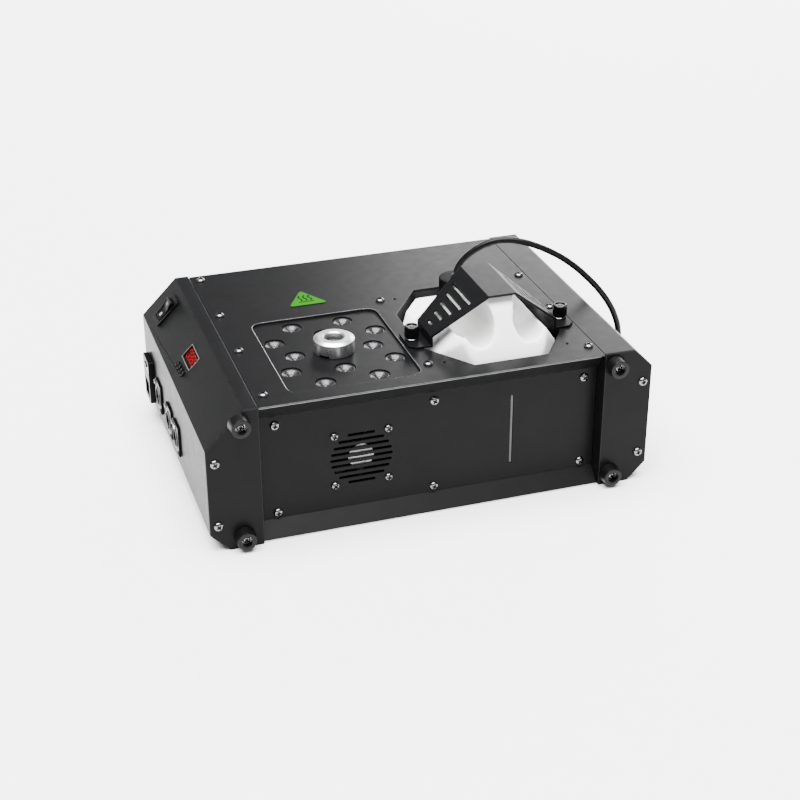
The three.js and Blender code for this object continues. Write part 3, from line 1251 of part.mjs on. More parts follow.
function pumpStand() {
  const half = COIL_LENGTH / 2 - PUMP_STAND_INSET;
  const top = PUMP_HEIGHT - COIL_SIZE / 2 - GAP;
  const low = FLOOR_TOP + GAP + SHEET;
  const line = points([
    [PUMP_X + half + PUMP_STAND_FOOT, low], [PUMP_X + half, low], [PUMP_X + half, top],
    [PUMP_X - half, top], [PUMP_X - half, low], [PUMP_X - half - PUMP_STAND_FOOT, low],
  ]);
  return prism(sheetSection(line, SHEET), 'y', PUMP_Y - COIL_SIZE / 2, PUMP_Y + COIL_SIZE / 2);
}

// From the pump's outlet forward and up into the back of the heater.
function heaterPipe() {
  const start = PUMP_X - COIL_LENGTH / 2 - GAP - PUMP_PORT_REACH;
  const back = LIGHT_Y + HEATER_DEPTH / 2 + GAP;
  const [x, z] = [LIGHT_X - HEATER_LENGTH / 2 + 14, HEATER_TOP - HEATER_HEIGHT / 2];
  const route = [
    [start, PUMP_Y, PUMP_HEIGHT], [start - 9, PUMP_Y, PUMP_HEIGHT], [start - 17, PUMP_Y - 7, PUMP_HEIGHT],
    [start - 19, PUMP_Y - 22, PUMP_HEIGHT + 2], [x - 4, back + 44, z - 8], [x, back + 20, z], [x, back, z],
  ];
  return bentRod(smoothPath(route), PIPE_RADIUS, 8, 30);
}

// Mains and relay board on the tray behind the tank well.
function powerBoard() {
  const low = FLOOR_TOP + GAP + POWER_BOARD_RISE;
  const [x, y] = [TANK_X + POWER_BOARD_RIGHT, BACK - RECESS_DEPTH - POWER_BOARD_FORWARD];
  const block = (i, j, halfX, halfY, heights) =>
    box([x + i - halfX, x + i + halfX], [y + j - halfY, y + j + halfY], heights);
  const parts = POWER_BOARD_PARTS.map(([i, j, width, depth, height]) =>
    block(i, j, width / 2, depth / 2, [low + BOARD / 2, low + BOARD + height]));
  const [studX, studY] = POWER_BOARD_STUD;
  const studs = [[-1, -1], [1, -1], [1, 1], [-1, 1]].map(([i, j]) => block(
    i * studX, j * studY, POWER_BOARD_STUD_HALF, POWER_BOARD_STUD_HALF, [FLOOR_TOP + GAP, low + BOARD / 2]));
  return joined(block(0, 0, ...POWER_BOARD_HALF, [low, low + BOARD]), ...parts, ...studs);
}

function addFluidPath(group) {
  place(group, 'hose', hose(), 'blackPlastic');
  place(group, 'inlet_grommet', inletGrommet(), 'rubber');
  place(group, 'feed_tube', feedTube(), 'clearTube');
  place(group, 'pump_coil', pumpCoil(), 'blackPlastic');
  place(group, 'pump_inlet', pumpEnd(1), 'steel');
  place(group, 'pump_outlet', pumpEnd(-1), 'steel');
  place(group, 'pump_plunger', plunger(), 'steel');
  place(group, 'pump_spring', pumpSpring(), 'steel');
  place(group, 'pump_stand', pumpStand(), 'steel');
  place(group, 'heater_pipe', heaterPipe(), 'copper');
  place(group, 'power_board', powerBoard(), 'circuitBoard');
}

// ---- Sign ---------------------------------------------------------------------------------------------

function addSign(group) {
  const [x, y] = [LEFT + SIGN_FROM_LEFT, FRONT + SIGN_FROM_FRONT];
  const height = (SIGN_SIDE * Math.sqrt(3)) / 2;
  const outline = points([
    [x - SIGN_SIDE / 2, y - height / 3], [x + SIGN_SIDE / 2, y - height / 3], [x, y + (2 * height) / 3],
  ]);
  const low = BODY_HEIGHT + GAP;
  const film = prism(rounded(outline, SIGN_CORNER, 3), 'z', low, low + SIGN_THICKNESS);
  place(group, 'heat_sign', film, 'greenSign');
}

// ---- The whole machine --------------------------------------------------------------------------------

function fogMachine() {
  const machine = new THREE.Group();
  machine.name = 'fog_machine';
  addCasing(machine);
  addLights(machine);
  addTank(machine);
  addFan(machine);
  addControls(machine);
  addSockets(machine);
  addFluidPath(machine);
  addSign(machine);
  return machine;
}

export default fogMachine();
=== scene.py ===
"""The looks of the fog machine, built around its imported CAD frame.

Lengths are metres and every piece lies in the frame's own space: +Z up, the fan side facing -Y and the
sockets at the left end, -X. Each sub-assembly is a class with its sizes as fields. The classes read where
things are from the frame and add the fine surfaces that the CAD solids leave out.
"""

import logging
import math
from contextlib import contextmanager
from dataclasses import dataclass, field
from enum import Enum
from itertools import pairwise
from typing import Callable, Iterator, Sequence

import bmesh
import bpy
from mathutils import Matrix, Vector


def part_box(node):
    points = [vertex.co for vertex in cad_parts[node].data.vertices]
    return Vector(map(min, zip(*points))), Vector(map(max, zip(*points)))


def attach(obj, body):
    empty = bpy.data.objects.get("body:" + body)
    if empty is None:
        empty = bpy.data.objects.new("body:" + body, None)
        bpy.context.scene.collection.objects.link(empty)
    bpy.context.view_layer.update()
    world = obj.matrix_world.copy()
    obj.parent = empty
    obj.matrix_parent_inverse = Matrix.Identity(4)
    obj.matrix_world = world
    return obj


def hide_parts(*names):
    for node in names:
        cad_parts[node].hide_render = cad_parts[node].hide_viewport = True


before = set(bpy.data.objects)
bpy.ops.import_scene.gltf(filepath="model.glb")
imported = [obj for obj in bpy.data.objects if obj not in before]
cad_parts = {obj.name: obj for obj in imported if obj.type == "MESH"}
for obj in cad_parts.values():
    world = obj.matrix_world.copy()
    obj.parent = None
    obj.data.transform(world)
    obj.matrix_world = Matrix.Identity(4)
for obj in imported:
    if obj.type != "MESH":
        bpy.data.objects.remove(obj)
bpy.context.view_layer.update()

LOG = logging.getLogger("fog_machine")
SHEET = 0.0015
GAP = 0.0003
MERGE = 1e-5
Profile = Sequence[tuple[float, float]]
Colour = tuple[float, float, float]


class Facing(Enum):
    """The way a piece's own +Z axis points once it is in place."""

    UP = (0, 0, 1)
    DOWN = (0, 0, -1)
    FRONT = (0, -1, 0)
    BACK = (0, 1, 0)
    LEFT = (-1, 0, 0)
    RIGHT = (1, 0, 0)

    def matrix(self) -> Matrix:
        """Return the turn from +Z to this direction."""
        return Vector(self.value).to_track_quat("Z", "Y").to_matrix().to_4x4()


class Slot(Enum):
    """The record's material slots, named with each new piece."""

    PAINT = "black_paint"
    PLASTIC = "black_plastic"
    RUBBER = "rubber"
    BRIGHT = "bright_aluminium"
    STEEL = "steel"
    TANK = "tank_plastic"
    LENS = "clear_lens"
    TUBE = "clear_tube"
    DISPLAY = "red_display"
    SIGN = "green_sign"


# ---- Finishes -----------------------------------------------------------------------------------------


class Recipe:
    """The nodes of one material, wired from the shader backwards."""

    def __init__(self, name: str) -> None:
        """Start a material with a Principled shader and object coordinates.

        Args:
            name: The material's name.
        """
        self.material = bpy.data.materials.new(name)
        self.material.use_nodes = True
        self.nodes = self.material.node_tree.nodes
        self.links = self.material.node_tree.links
        self.shader = self.nodes["Principled BSDF"]
        self.place = self.nodes.new("ShaderNodeTexCoord").outputs["Object"]

    def set(self, **values: float | Colour) -> None:
        """Set constant values on the shader; an underscore in a name stands for a space."""
        for name, value in values.items():
            socket = self.shader.inputs[name.replace("_", " ")]
            socket.default_value = (*value, 1.0) if isinstance(value, tuple) and len(value) == 3 else value

    def mapped(self, scale: Colour = (1, 1, 1), centre: Colour = (0, 0, 0)) -> bpy.types.NodeSocket:
        """Return object coordinates moved to a centre and stretched.

        Args:
            scale: The factor along each axis.
            centre: The point that becomes the origin.

        Returns:
            The vector socket.
        """
        mapping = self.nodes.new("ShaderNodeMapping")
        mapping.inputs["Location"].default_value = [-c * s for c, s in zip(centre, scale)]
        mapping.inputs["Scale"].default_value = scale
        self.links.new(self.place, mapping.inputs["Vector"])
        return mapping.outputs["Vector"]

    def noise(self, scale: float, detail: float = 2.0, place: bpy.types.NodeSocket | None = None
              ) -> bpy.types.NodeSocket:
        """Return a soft noise pattern.

        Args:
            scale: Cells per metre.
            detail: Octaves of finer noise.
            place: Other coordinates than the object's own.

        Returns:
            The factor socket.
        """
        texture = self.nodes.new("ShaderNodeTexNoise")
        texture.inputs["Scale"].default_value = scale
        texture.inputs["Detail"].default_value = detail
        self.links.new(place or self.place, texture.inputs["Vector"])
        return texture.outputs["Fac"]

    def rings(self, scale: float, centre: Colour) -> bpy.types.NodeSocket:
        """Return fine rings about a vertical axis, as a lathe leaves them."""
        texture = self.nodes.new("ShaderNodeTexWave")
        texture.wave_type = "RINGS"
        texture.rings_direction = "Z"
        texture.inputs["Scale"].default_value = scale
        texture.inputs["Distortion"].default_value = 1.5
        self.links.new(self.mapped(centre=centre), texture.inputs["Vector"])
        return texture.outputs["Fac"]

    def range(self, factor: bpy.types.NodeSocket, low: float, high: float,
              source: tuple[float, float] = (0.3, 0.7)) -> bpy.types.NodeSocket:
        """Map a pattern to a range of values.

        Args:
            factor: The pattern.
            low: The value at the pattern's low end.
            high: The value at its high end.
            source: The stretch of the pattern that is used.

        Returns:
            The value socket.
        """
        node = self.nodes.new("ShaderNodeMapRange")
        node.inputs["From Min"].default_value, node.inputs["From Max"].default_value = source
        node.inputs["To Min"].default_value = low
        node.inputs["To Max"].default_value = high
        self.links.new(factor, node.inputs["Value"])
        return node.outputs["Result"]

    def blend(self, factor: bpy.types.NodeSocket, first: Colour, second: Colour) -> bpy.types.NodeSocket:
        """Return a colour that a pattern moves from the first to the second."""
        node = self.nodes.new("ShaderNodeMix")
        node.data_type = "RGBA"
        node.inputs[6].default_value = (*first, 1.0)
        node.inputs[7].default_value = (*second, 1.0)
        self.links.new(factor, node.inputs[0])
        return node.outputs[2]

    def colour(self, socket: bpy.types.NodeSocket) -> None:
        """Wire a colour into the shader."""
        self.links.new(socket, self.shader.inputs["Base Color"])

    def roughness(self, socket: bpy.types.NodeSocket) -> None:
        """Wire a roughness into the shader."""
        self.links.new(socket, self.shader.inputs["Roughness"])

    def bumps(self, *layers: tuple[bpy.types.NodeSocket, float]) -> None:
        """Stack height patterns into the shader's normal.

        Args:
            layers: Pairs of a pattern and its height in metres, coarse ones first.
        """
        normal = None
        for pattern, height in layers:
            node = self.nodes.new("ShaderNodeBump")
            node.inputs["Strength"].default_value = 1.0
            node.inputs["Distance"].default_value = height
            self.links.new(pattern, node.inputs["Height"])
            if normal:
                self.links.new(normal, node.inputs["Normal"])
            normal = node.outputs["Normal"]
        self.links.new(normal, self.shader.inputs["Normal"])


def scaled(colour: Colour, factor: float) -> Colour:
    """Return a colour made lighter or darker."""
    return tuple(min(1.0, c * factor) for c in colour)


@dataclass(frozen=True)
class Finish:
    """A surface with a little mottling, uneven gloss and a fine grain."""

    name: str
    colour: Colour
    roughness: float = 0.5
    metallic: float = 0.0
    mottling: float = 0.1
    mottle_scale: float = 40.0
    gloss_change: float = 0.05
    grain_scale: float = 1500.0
    grain_height: float = 0.00001
    coat: float = 0.0
    specular: float = 0.5

    def recipe(self) -> Recipe:
        """Return the material's nodes; finishes of other kinds add to them."""
        recipe = Recipe(self.name)
        recipe.set(Metallic=self.metallic, Coat_Weight=self.coat, Coat_Roughness=0.15,
                   Specular_IOR_Level=self.specular)
        mottle = recipe.noise(self.mottle_scale, 3.0)
        recipe.colour(recipe.blend(recipe.range(mottle, 0, 1), scaled(self.colour, 1 - self.mottling),
                                   scaled(self.colour, 1 + self.mottling)))
        gloss = recipe.noise(self.mottle_scale * 2.7, 4.0)
        recipe.roughness(recipe.range(gloss, self.roughness - self.gloss_change,
                                      self.roughness + self.gloss_change))
        recipe.bumps(*self.relief(recipe))
        return recipe

    def relief(self, recipe: Recipe) -> list[tuple[bpy.types.NodeSocket, float]]:
        """Return the height patterns of the surface."""
        return [(recipe.noise(self.grain_scale, 2.0), self.grain_height)]

    def material(self) -> bpy.types.Material:
        """Return the finished material, made once for each name."""
        found = bpy.data.materials.get(self.name)
        return found or self.recipe().material


@dataclass(frozen=True)
class PowderCoat(Finish):
    """Sprayed and baked paint: slight orange peel under a fine grain."""

    peel_scale: float = 420.0
    peel_height: float = 0.000012

    def relief(self, recipe: Recipe) -> list[tuple[bpy.types.NodeSocket, float]]:
        """Return orange peel and grain."""
        peel = (recipe.noise(self.peel_scale, 1.0), self.peel_height)
        return [peel, *super().relief(recipe)]


@dataclass(frozen=True)
class TurnedMetal(Finish):
    """Bright metal off the lathe, with fine rings about its axis."""

    centre: Colour = (0.0, 0.0, 0.0)
    ring_scale: float = 700.0
    ring_height: float = 0.000004

    def relief(self, recipe: Recipe) -> list[tuple[bpy.types.NodeSocket, float]]:
        """Return the lathe's rings."""
        return [(recipe.rings(self.ring_scale, self.centre), self.ring_height)]


@dataclass(frozen=True)
class Translucent(Finish):
    """Plastic that light soaks into, thicker in some places than in others."""

    depth: float = 0.006
    weight: float = 0.35

    def recipe(self) -> Recipe:
        """Return the nodes with scattering under the surface."""
        recipe = super().recipe()
        recipe.set(Subsurface_Weight=self.weight, Subsurface_Scale=self.depth)
        recipe.shader.inputs["Subsurface Radius"].default_value = (1.0, 0.95, 0.9)
        return recipe


@dataclass(frozen=True)
class Clear(Finish):
    """Clear plastic that light passes through."""

    transmission: float = 0.8
    index: float = 1.49

    def recipe(self) -> Recipe:
        """Return the nodes with light passing through."""
        recipe = super().recipe()
        recipe.set(Transmission_Weight=self.transmission, IOR=self.index)
        return recipe


@dataclass(frozen=True)
class Lit(Finish):
    """A surface that gives light."""

    strength: float = 2.0

    def recipe(self) -> Recipe:
        """Return the nodes with emission."""
        recipe = super().recipe()
        recipe.set(Emission_Color=self.colour, Emission_Strength=self.strength)
        return recipe


NOZZLE_MIDDLE = (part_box("nozzle_ring")[0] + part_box("nozzle_ring")[1]) / 2

CASE = PowderCoat("case_powder_coat", (0.003, 0.003, 0.0033), 0.34, mottling=0.12, gloss_change=0.03,
                  specular=0.06)
# EDGE: a lighter, glossier copy of the case paint for rounded edges, a painted highlight.
EDGE = PowderCoat("case_edge_painted_highlight", (0.004, 0.004, 0.0043), 0.3, gloss_change=0.03, specular=0.12)
# Bright metal on the top plate's front fold and window rim: a painted highlight line.
METAL_EDGE_HIGHLIGHT = Finish("painted_edge_highlight", (0.2, 0.2, 0.205), 0.22, 0.8, mottling=0.2, mottle_scale=120)
STRAP_PAINT = PowderCoat("strap_powder_coat", (0.003, 0.003, 0.0033), 0.36, gloss_change=0.03,
                         specular=0.06)
INSIDE = PowderCoat("inside_powder_coat", (0.005, 0.005, 0.0055), 0.6, specular=0.2)
PLASTIC = Finish("moulded_plastic", (0.002, 0.002, 0.0022), 0.3, grain_scale=2600, grain_height=0.000012,
                 specular=0.08)
CAP_PLASTIC = Finish("cap_plastic", (0.0014, 0.0014, 0.0016), 0.42, grain_scale=2600, grain_height=0.000012,
                     specular=0.025)
GLOSSY = Finish("glossy_plastic", (0.003, 0.003, 0.0033), 0.16, gloss_change=0.03,
                grain_height=0.000002, specular=0.12)
RUBBER = Finish("foot_rubber", (0.0022, 0.0022, 0.0024), 0.3, grain_scale=1800, grain_height=0.00002,
                specular=0.14)
HOSE_RUBBER = Finish("hose_rubber", (0.002, 0.002, 0.0023), 0.34, grain_scale=900, grain_height=0.000015,
                     specular=0.12)
BRIGHT = TurnedMetal("turned_aluminium", (0.8, 0.81, 0.82), 0.3, 1.0, mottling=0.02, gloss_change=0.03,
                     centre=tuple(NOZZLE_MIDDLE))
CHROME = Finish("screw_chrome", (0.17, 0.17, 0.175), 0.2, 1.0, mottling=0.05, grain_height=0.000002)
# Near-black finish for the screws' cross recesses: painted shade.
RECESS_SHADE = Finish("screw_recess_painted_shade", (0.006, 0.006, 0.006), 0.5, 0.3)
ZINC = Finish("zinc_plate", (0.62, 0.63, 0.64), 0.3, 1.0, grain_height=0.000006)
SOOTED = Finish("sooted_steel", (0.06, 0.058, 0.055), 0.4, 0.9, mottling=0.3, mottle_scale=300)
CAST = Finish("cast_aluminium", (0.5, 0.51, 0.52), 0.5, 0.9, grain_scale=900, grain_height=0.00006)
COPPER = Finish("copper_pipe", (0.72, 0.38, 0.24), 0.28, 1.0, grain_height=0.000004)
GOLD = Finish("gold_contact", (0.85, 0.62, 0.25), 0.2, 1.0, grain_height=0.000002)
TANK = Translucent("tank_plastic", (0.93, 0.93, 0.93), 0.38, mottling=0.02, grain_scale=500,
                   grain_height=0.000012)
SIGHT = Finish("sight_strip", (0.015, 0.015, 0.0155), 0.4, mottling=0.05)
LENS = Finish("lens_optics", (0.02, 0.02, 0.021), 0.24, 0.4, mottling=0.9, mottle_scale=420, coat=0.06,
              grain_height=0.00004)
LENS_RIM = Finish("lens_rim", (0.03, 0.03, 0.031), 0.2, 0.2, coat=0.15)
CHIP = Finish("light_chip", (0.035, 0.035, 0.034), 0.2, 0.3, mottling=0.5, mottle_scale=900, coat=0.2)
CLEAR_TUBE = Clear("clear_tube", (0.85, 0.87, 0.86), 0.12)
BOARD = Finish("circuit_board", (0.015, 0.1, 0.04), 0.35, mottling=0.25, mottle_scale=250)
WINDOW = Finish("display_window", (0.004, 0.0005, 0.0005), 0.12, specular=0.1, mottling=0.05,
                grain_height=0.000002)
DIGIT = Lit("display_digits", (0.16, 0.001, 0.002), 0.4, specular=0.03, strength=0.4)
SIGN_GREEN = Finish("sign_green", (0.009, 0.088, 0.0002), 0.4, mottling=0.03, grain_height=0.000003,
                    specular=0.04)
SIGN_DARK = Finish("sign_print", (0.0012, 0.003, 0.0005), 0.45, grain_height=0.000002, specular=0.03)
PRINT = Finish("white_print", (0.4, 0.4, 0.4), 0.5, mottling=0.05)
FOIL = Finish("hub_foil", (0.92, 0.92, 0.92), 0.5, 0.2, mottling=0.04)


# ---- Modelling ----------------------------------------------------------------------------------------


def only(piece: bpy.types.Object) -> None:
    """Select one object and nothing else, and make it the active one."""
    bpy.ops.object.select_all(action="DESELECT")
    piece.select_set(True)
    bpy.context.view_layer.objects.active = piece


def fresh(name: str) -> bpy.types.Object:
    """Name the primitive that was just added and put its place in its mesh."""
    piece = bpy.context.active_object
    piece.name = name
    piece.data.name = name
    settle(piece)
    return piece


def settle(piece: bpy.types.Object) -> None:
    """Move an object's place, turn and scale into its mesh."""
    only(piece)
    bpy.ops.object.transform_apply(location=True, rotation=True, scale=True)


@contextmanager
def editing(piece: bpy.types.Object) -> Iterator[None]:
    """Open a piece in edit mode with everything selected."""
    only(piece)
    bpy.ops.object.mode_set(mode="EDIT")
    bpy.ops.mesh.select_mode(type="VERT")
    bpy.ops.mesh.select_all(action="SELECT")
    yield
    bpy.ops.object.mode_set(mode="OBJECT")


def pick_points(piece: bpy.types.Object, test: Callable[[Vector], bool]) -> None:
    """Select the vertices whose place passes a test, in edit mode."""
    bpy.ops.mesh.select_mode(type="VERT")
    bpy.ops.mesh.select_all(action="DESELECT")
    mesh = bmesh.from_edit_mesh(piece.data)
    for vertex in mesh.verts:
        vertex.select_set(test(vertex.co))
    mesh.select_flush_mode()
    bmesh.update_edit_mesh(piece.data)


def put(piece: bpy.types.Object, at: Matrix) -> bpy.types.Object:
    """Place a piece made about the origin."""
    piece.data.transform(at)
    return piece


def spot(place: Sequence[float], facing: Facing = Facing.UP, spin: float = 0.0) -> Matrix:
    """Return the matrix of a place and a direction.

    Args:
        place: Where the piece's own origin goes.
        facing: Where its own +Z points.
        spin: A turn about its own Z first, in radians.
    """
    return Matrix.Translation(Vector(place)) @ facing.matrix() @ Matrix.Rotation(spin, 4, "Z")


def turned(name: str, profile: Profile, sides: int = 48, ring: bool = False) -> bpy.types.Object:
    """Make a round piece about Z by extruding and scaling a circle along a profile.

    Args:
        name: The piece's name.
        profile: Pairs of radius and height, from the first circle to the last.
        sides: Edges in the circle.
        ring: True where the profile closes on its first point and leaves a hole.

    Returns:
        The new object.
    """
    radius, height = profile[0]
    bpy.ops.object.select_all(action="DESELECT")
    bpy.ops.mesh.primitive_circle_add(vertices=sides, radius=radius, location=(0, 0, height),
                                      fill_type="NOTHING" if ring else "NGON")
    piece = fresh(name)
    stations = [*profile, profile[0]] if ring else list(profile)
    with editing(piece):
        for (r0, z0), (r1, z1) in pairwise(stations):
            bpy.ops.mesh.extrude_region_move(TRANSFORM_OT_translate={"value": (0, 0, z1 - z0)})
            bpy.ops.transform.resize(value=(r1 / r0, r1 / r0, 1), center_override=(0, 0, z1))
        bpy.ops.mesh.select_all(action="SELECT")
        bpy.ops.mesh.remove_doubles(threshold=MERGE / 10)
        bpy.ops.mesh.normals_make_consistent(inside=False)
    return piece


def block(name: str, low: Sequence[float], high: Sequence[float], bevel: float = 0.0) -> bpy.types.Object:
    """Make a box between two corners, with its edges rounded where a bevel is given."""
    middle = [(a + b) / 2 for a, b in zip(low, high)]
    bpy.ops.object.select_all(action="DESELECT")
    bpy.ops.mesh.primitive_cube_add(size=1, location=middle)
    piece = bpy.context.active_object
    piece.scale = [b - a for a, b in zip(low, high)]
    piece = fresh(name)
    if bevel:
        with editing(piece):
            bpy.ops.mesh.bevel(offset=bevel, segments=3, affect="EDGES")
    return piece


def apply_modifiers(piece: bpy.types.Object) -> None:
    """Apply every modifier of a piece, in order."""
    only(piece)
    for modifier in list(piece.modifiers):
        bpy.ops.object.modifier_apply(modifier=modifier.name)


def bevelled(piece: bpy.types.Object, width: float, segments: int = 2, angle: float = 30.0,
             finish_index: int = -1) -> bpy.types.Object:
    """Round the edges that are sharper than an angle in degrees.

    Args:
        piece: The piece.
        width: The width of the rounded edges.
        segments: Faces across each rounded edge.
        angle: The angle in degrees from which an edge is rounded.
        finish_index: The finish of the new faces, or -1 for that of their neighbours.
    """
    modifier = piece.modifiers.new("edges", "BEVEL")
    modifier.width = width
    modifier.segments = segments
    modifier.limit_method = "ANGLE"
    modifier.angle_limit = math.radians(angle)
    modifier.use_clamp_overlap = False
    modifier.material = finish_index
    apply_modifiers(piece)
    return piece


def cut(piece: bpy.types.Object, *tools: bpy.types.Object) -> bpy.types.Object:
    """Take the tools' shapes out of a piece and delete the tools."""
    tool = joined("cutting_tool", tools)
    modifier = piece.modifiers.new("cut", "BOOLEAN")
    modifier.operation = "DIFFERENCE"
    modifier.solver = "EXACT"
    modifier.use_self = len(tools) > 1
    modifier.object = tool
    apply_modifiers(piece)
    bpy.data.objects.remove(tool)
    return piece


def joined(name: str, pieces: Sequence[bpy.types.Object]) -> bpy.types.Object:
    """Join pieces into one object."""
    only(pieces[0])
    for piece in pieces:
        piece.select_set(True)
    if len(pieces) > 1:
        bpy.ops.object.join()
    whole = bpy.context.active_object
    whole.name = name
    whole.data.name = name
    return whole


def copied(piece: bpy.types.Object, name: str, at: Matrix) -> bpy.types.Object:
    """Copy a piece with a mesh of its own and move the copy."""
    twin = piece.copy()
    twin.data = piece.data.copy()
    twin.name = name
    twin.data.name = name
    bpy.context.scene.collection.objects.link(twin)
    return put(twin, at)


def refined(node: str, name: str, bevel: float, segments: int = 2, finishes: Sequence[Finish] = ()
            ) -> bpy.types.Object:
    """Make a copy of a CAD node with merged faces and rounded edges.

    Args:
        node: The CAD node.
        name: The copy's name.
        bevel: The width of the rounded edges.
        segments: Faces across each rounded edge.
        finishes: The finish of its faces and that of its rounded edges.

    Returns:
        The copy, which the caller dresses and mounts.
    """
    piece = bpy.data.objects.new(name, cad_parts[node].data.copy())
    piece.data.name = name
    piece.data.materials.clear()
    for finish in finishes:
        piece.data.materials.append(finish.material())
    bpy.context.scene.collection.objects.link(piece)
    only(piece)
    bpy.ops.mesh.customdata_custom_splitnormals_clear()
    with editing(piece):
        bpy.ops.mesh.remove_doubles(threshold=MERGE)
        bpy.ops.mesh.dissolve_limited(angle_limit=math.radians(0.5))
    if bevel:
        bevelled(piece, bevel, segments, finish_index=len(finishes) - 1)
    return piece


def smooth(piece: bpy.types.Object, angle: float = 32.0) -> bpy.types.Object:
    """Shade a piece smoothly except at its sharp edges."""
    only(piece)
    bpy.ops.object.shade_smooth_by_angle(angle=math.radians(angle))
    weigh = piece.modifiers.new("flat faces", "WEIGHTED_NORMAL")
    weigh.weight = 100
    weigh.keep_sharp = True
    apply_modifiers(piece)
    return piece


def dress(piece: bpy.types.Object, finish: Finish) -> bpy.types.Object:
    """Give the whole piece one finish."""
    piece.data.materials.clear()
    piece.data.materials.append(finish.material())
    return piece


def mount(piece: bpy.types.Object, body: str, slot: Slot, *nodes: str) -> bpy.types.Object:
    """Fix a finished piece to a body and let it stand for CAD nodes.

    Args:
        piece: The finished piece.
        body: The body that carries it.
        slot: Not used.
        nodes: The CAD nodes it replaces.
    """
    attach(piece, body)
    if nodes:
        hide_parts(*nodes)
    LOG.info("%s on %s", piece.name, body)
    return piece


# ---- Where things are ---------------------------------------------------------------------------------


@dataclass(frozen=True)
class CaseFaces:
    """The case's faces, read from the frame."""

    left: float
    right: float
    front: float
    back: float
    top: float
    panel: float
    rear_panel: float

    @classmethod
    def read(cls) -> "CaseFaces":
        """Read the faces from the CAD boxes."""
        return cls(
            left=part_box("left_cover")[0].x,
            right=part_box("right_cover")[1].x,
            front=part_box("left_front_plate")[0].y,
            back=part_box("left_rear_plate")[1].y,
            top=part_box("top_plate")[1].z,
            panel=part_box("front_panel")[1].y - SHEET,
            rear_panel=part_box("rear_panel")[0].y + SHEET,
        )


FACES = CaseFaces.read()


def middle(node: str) -> Vector:
    """Return the middle of a CAD node's box."""
    low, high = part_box(node)
    return (low + high) / 2


# ---- Screws -------------------------------------------------------------------------------------------


@dataclass
class PanHeadScrew:
    """A pan head screw with a cross recess, seen from outside its panel."""

    head_radius: float = 0.0043
    head_height: float = 0.0026
    slot_length: float = 0.0047
    slot_width: float = 0.0018
    slot_depth: float = 0.0021
    spin_step: float = 0.71
    finish: Finish = CHROME
    count: int = field(default=0, init=False)

    def model(self) -> bpy.types.Object:
        """Make the screw once, about the origin."""
        r, h = self.head_radius, self.head_height
        profile = [(r, 0), (r, 0.2 * h), (0.965 * r, 0.42 * h), (0.86 * r, 0.68 * h), (0.68 * r, 0.88 * h),
                   (0.42 * r, 0.98 * h), (0.2 * r, h)]
        head = turned("screw", profile, 28)
        a, b, low = self.slot_length / 2, self.slot_width / 2, h - self.slot_depth
        arms = [block("arm", (-a, -b, low), (a, b, 2 * h)), block("arm", (-b, -a, low), (b, a, 2 * h))]
        cut(head, *arms)
        dress(smooth(head, 40), self.finish)
        # The recess walls and floor take a near-black finish: painted shade in the cross.
        head.data.materials.append(RECESS_SHADE.material())
        for face in head.data.polygons:
            inside = face.center.xy.length < a and face.center.z < h * 0.93
            face.material_index = int(inside and abs(face.normal.z) < 0.95 or 0 < face.center.z < low * 1.01)
        return head

    def fix(self, name: str, place: Sequence[float], facing: Facing, body: str = "casing") -> None:
        """Put a copy of the screw in place."""
        self.count += 1
        twin = copied(self.master, name, spot(place, facing, self.spin_step * self.count))
        mount(twin, body, Slot.STEEL)

    def __enter__(self) -> "PanHeadScrew":
        """Make the pattern that the copies come from."""
        self.master = self.model()
        return self

    def __exit__(self, *_: object) -> None:
        """Delete the pattern."""
        bpy.data.objects.remove(self.master)


# ---- Case ---------------------------------------------------------------------------------------------


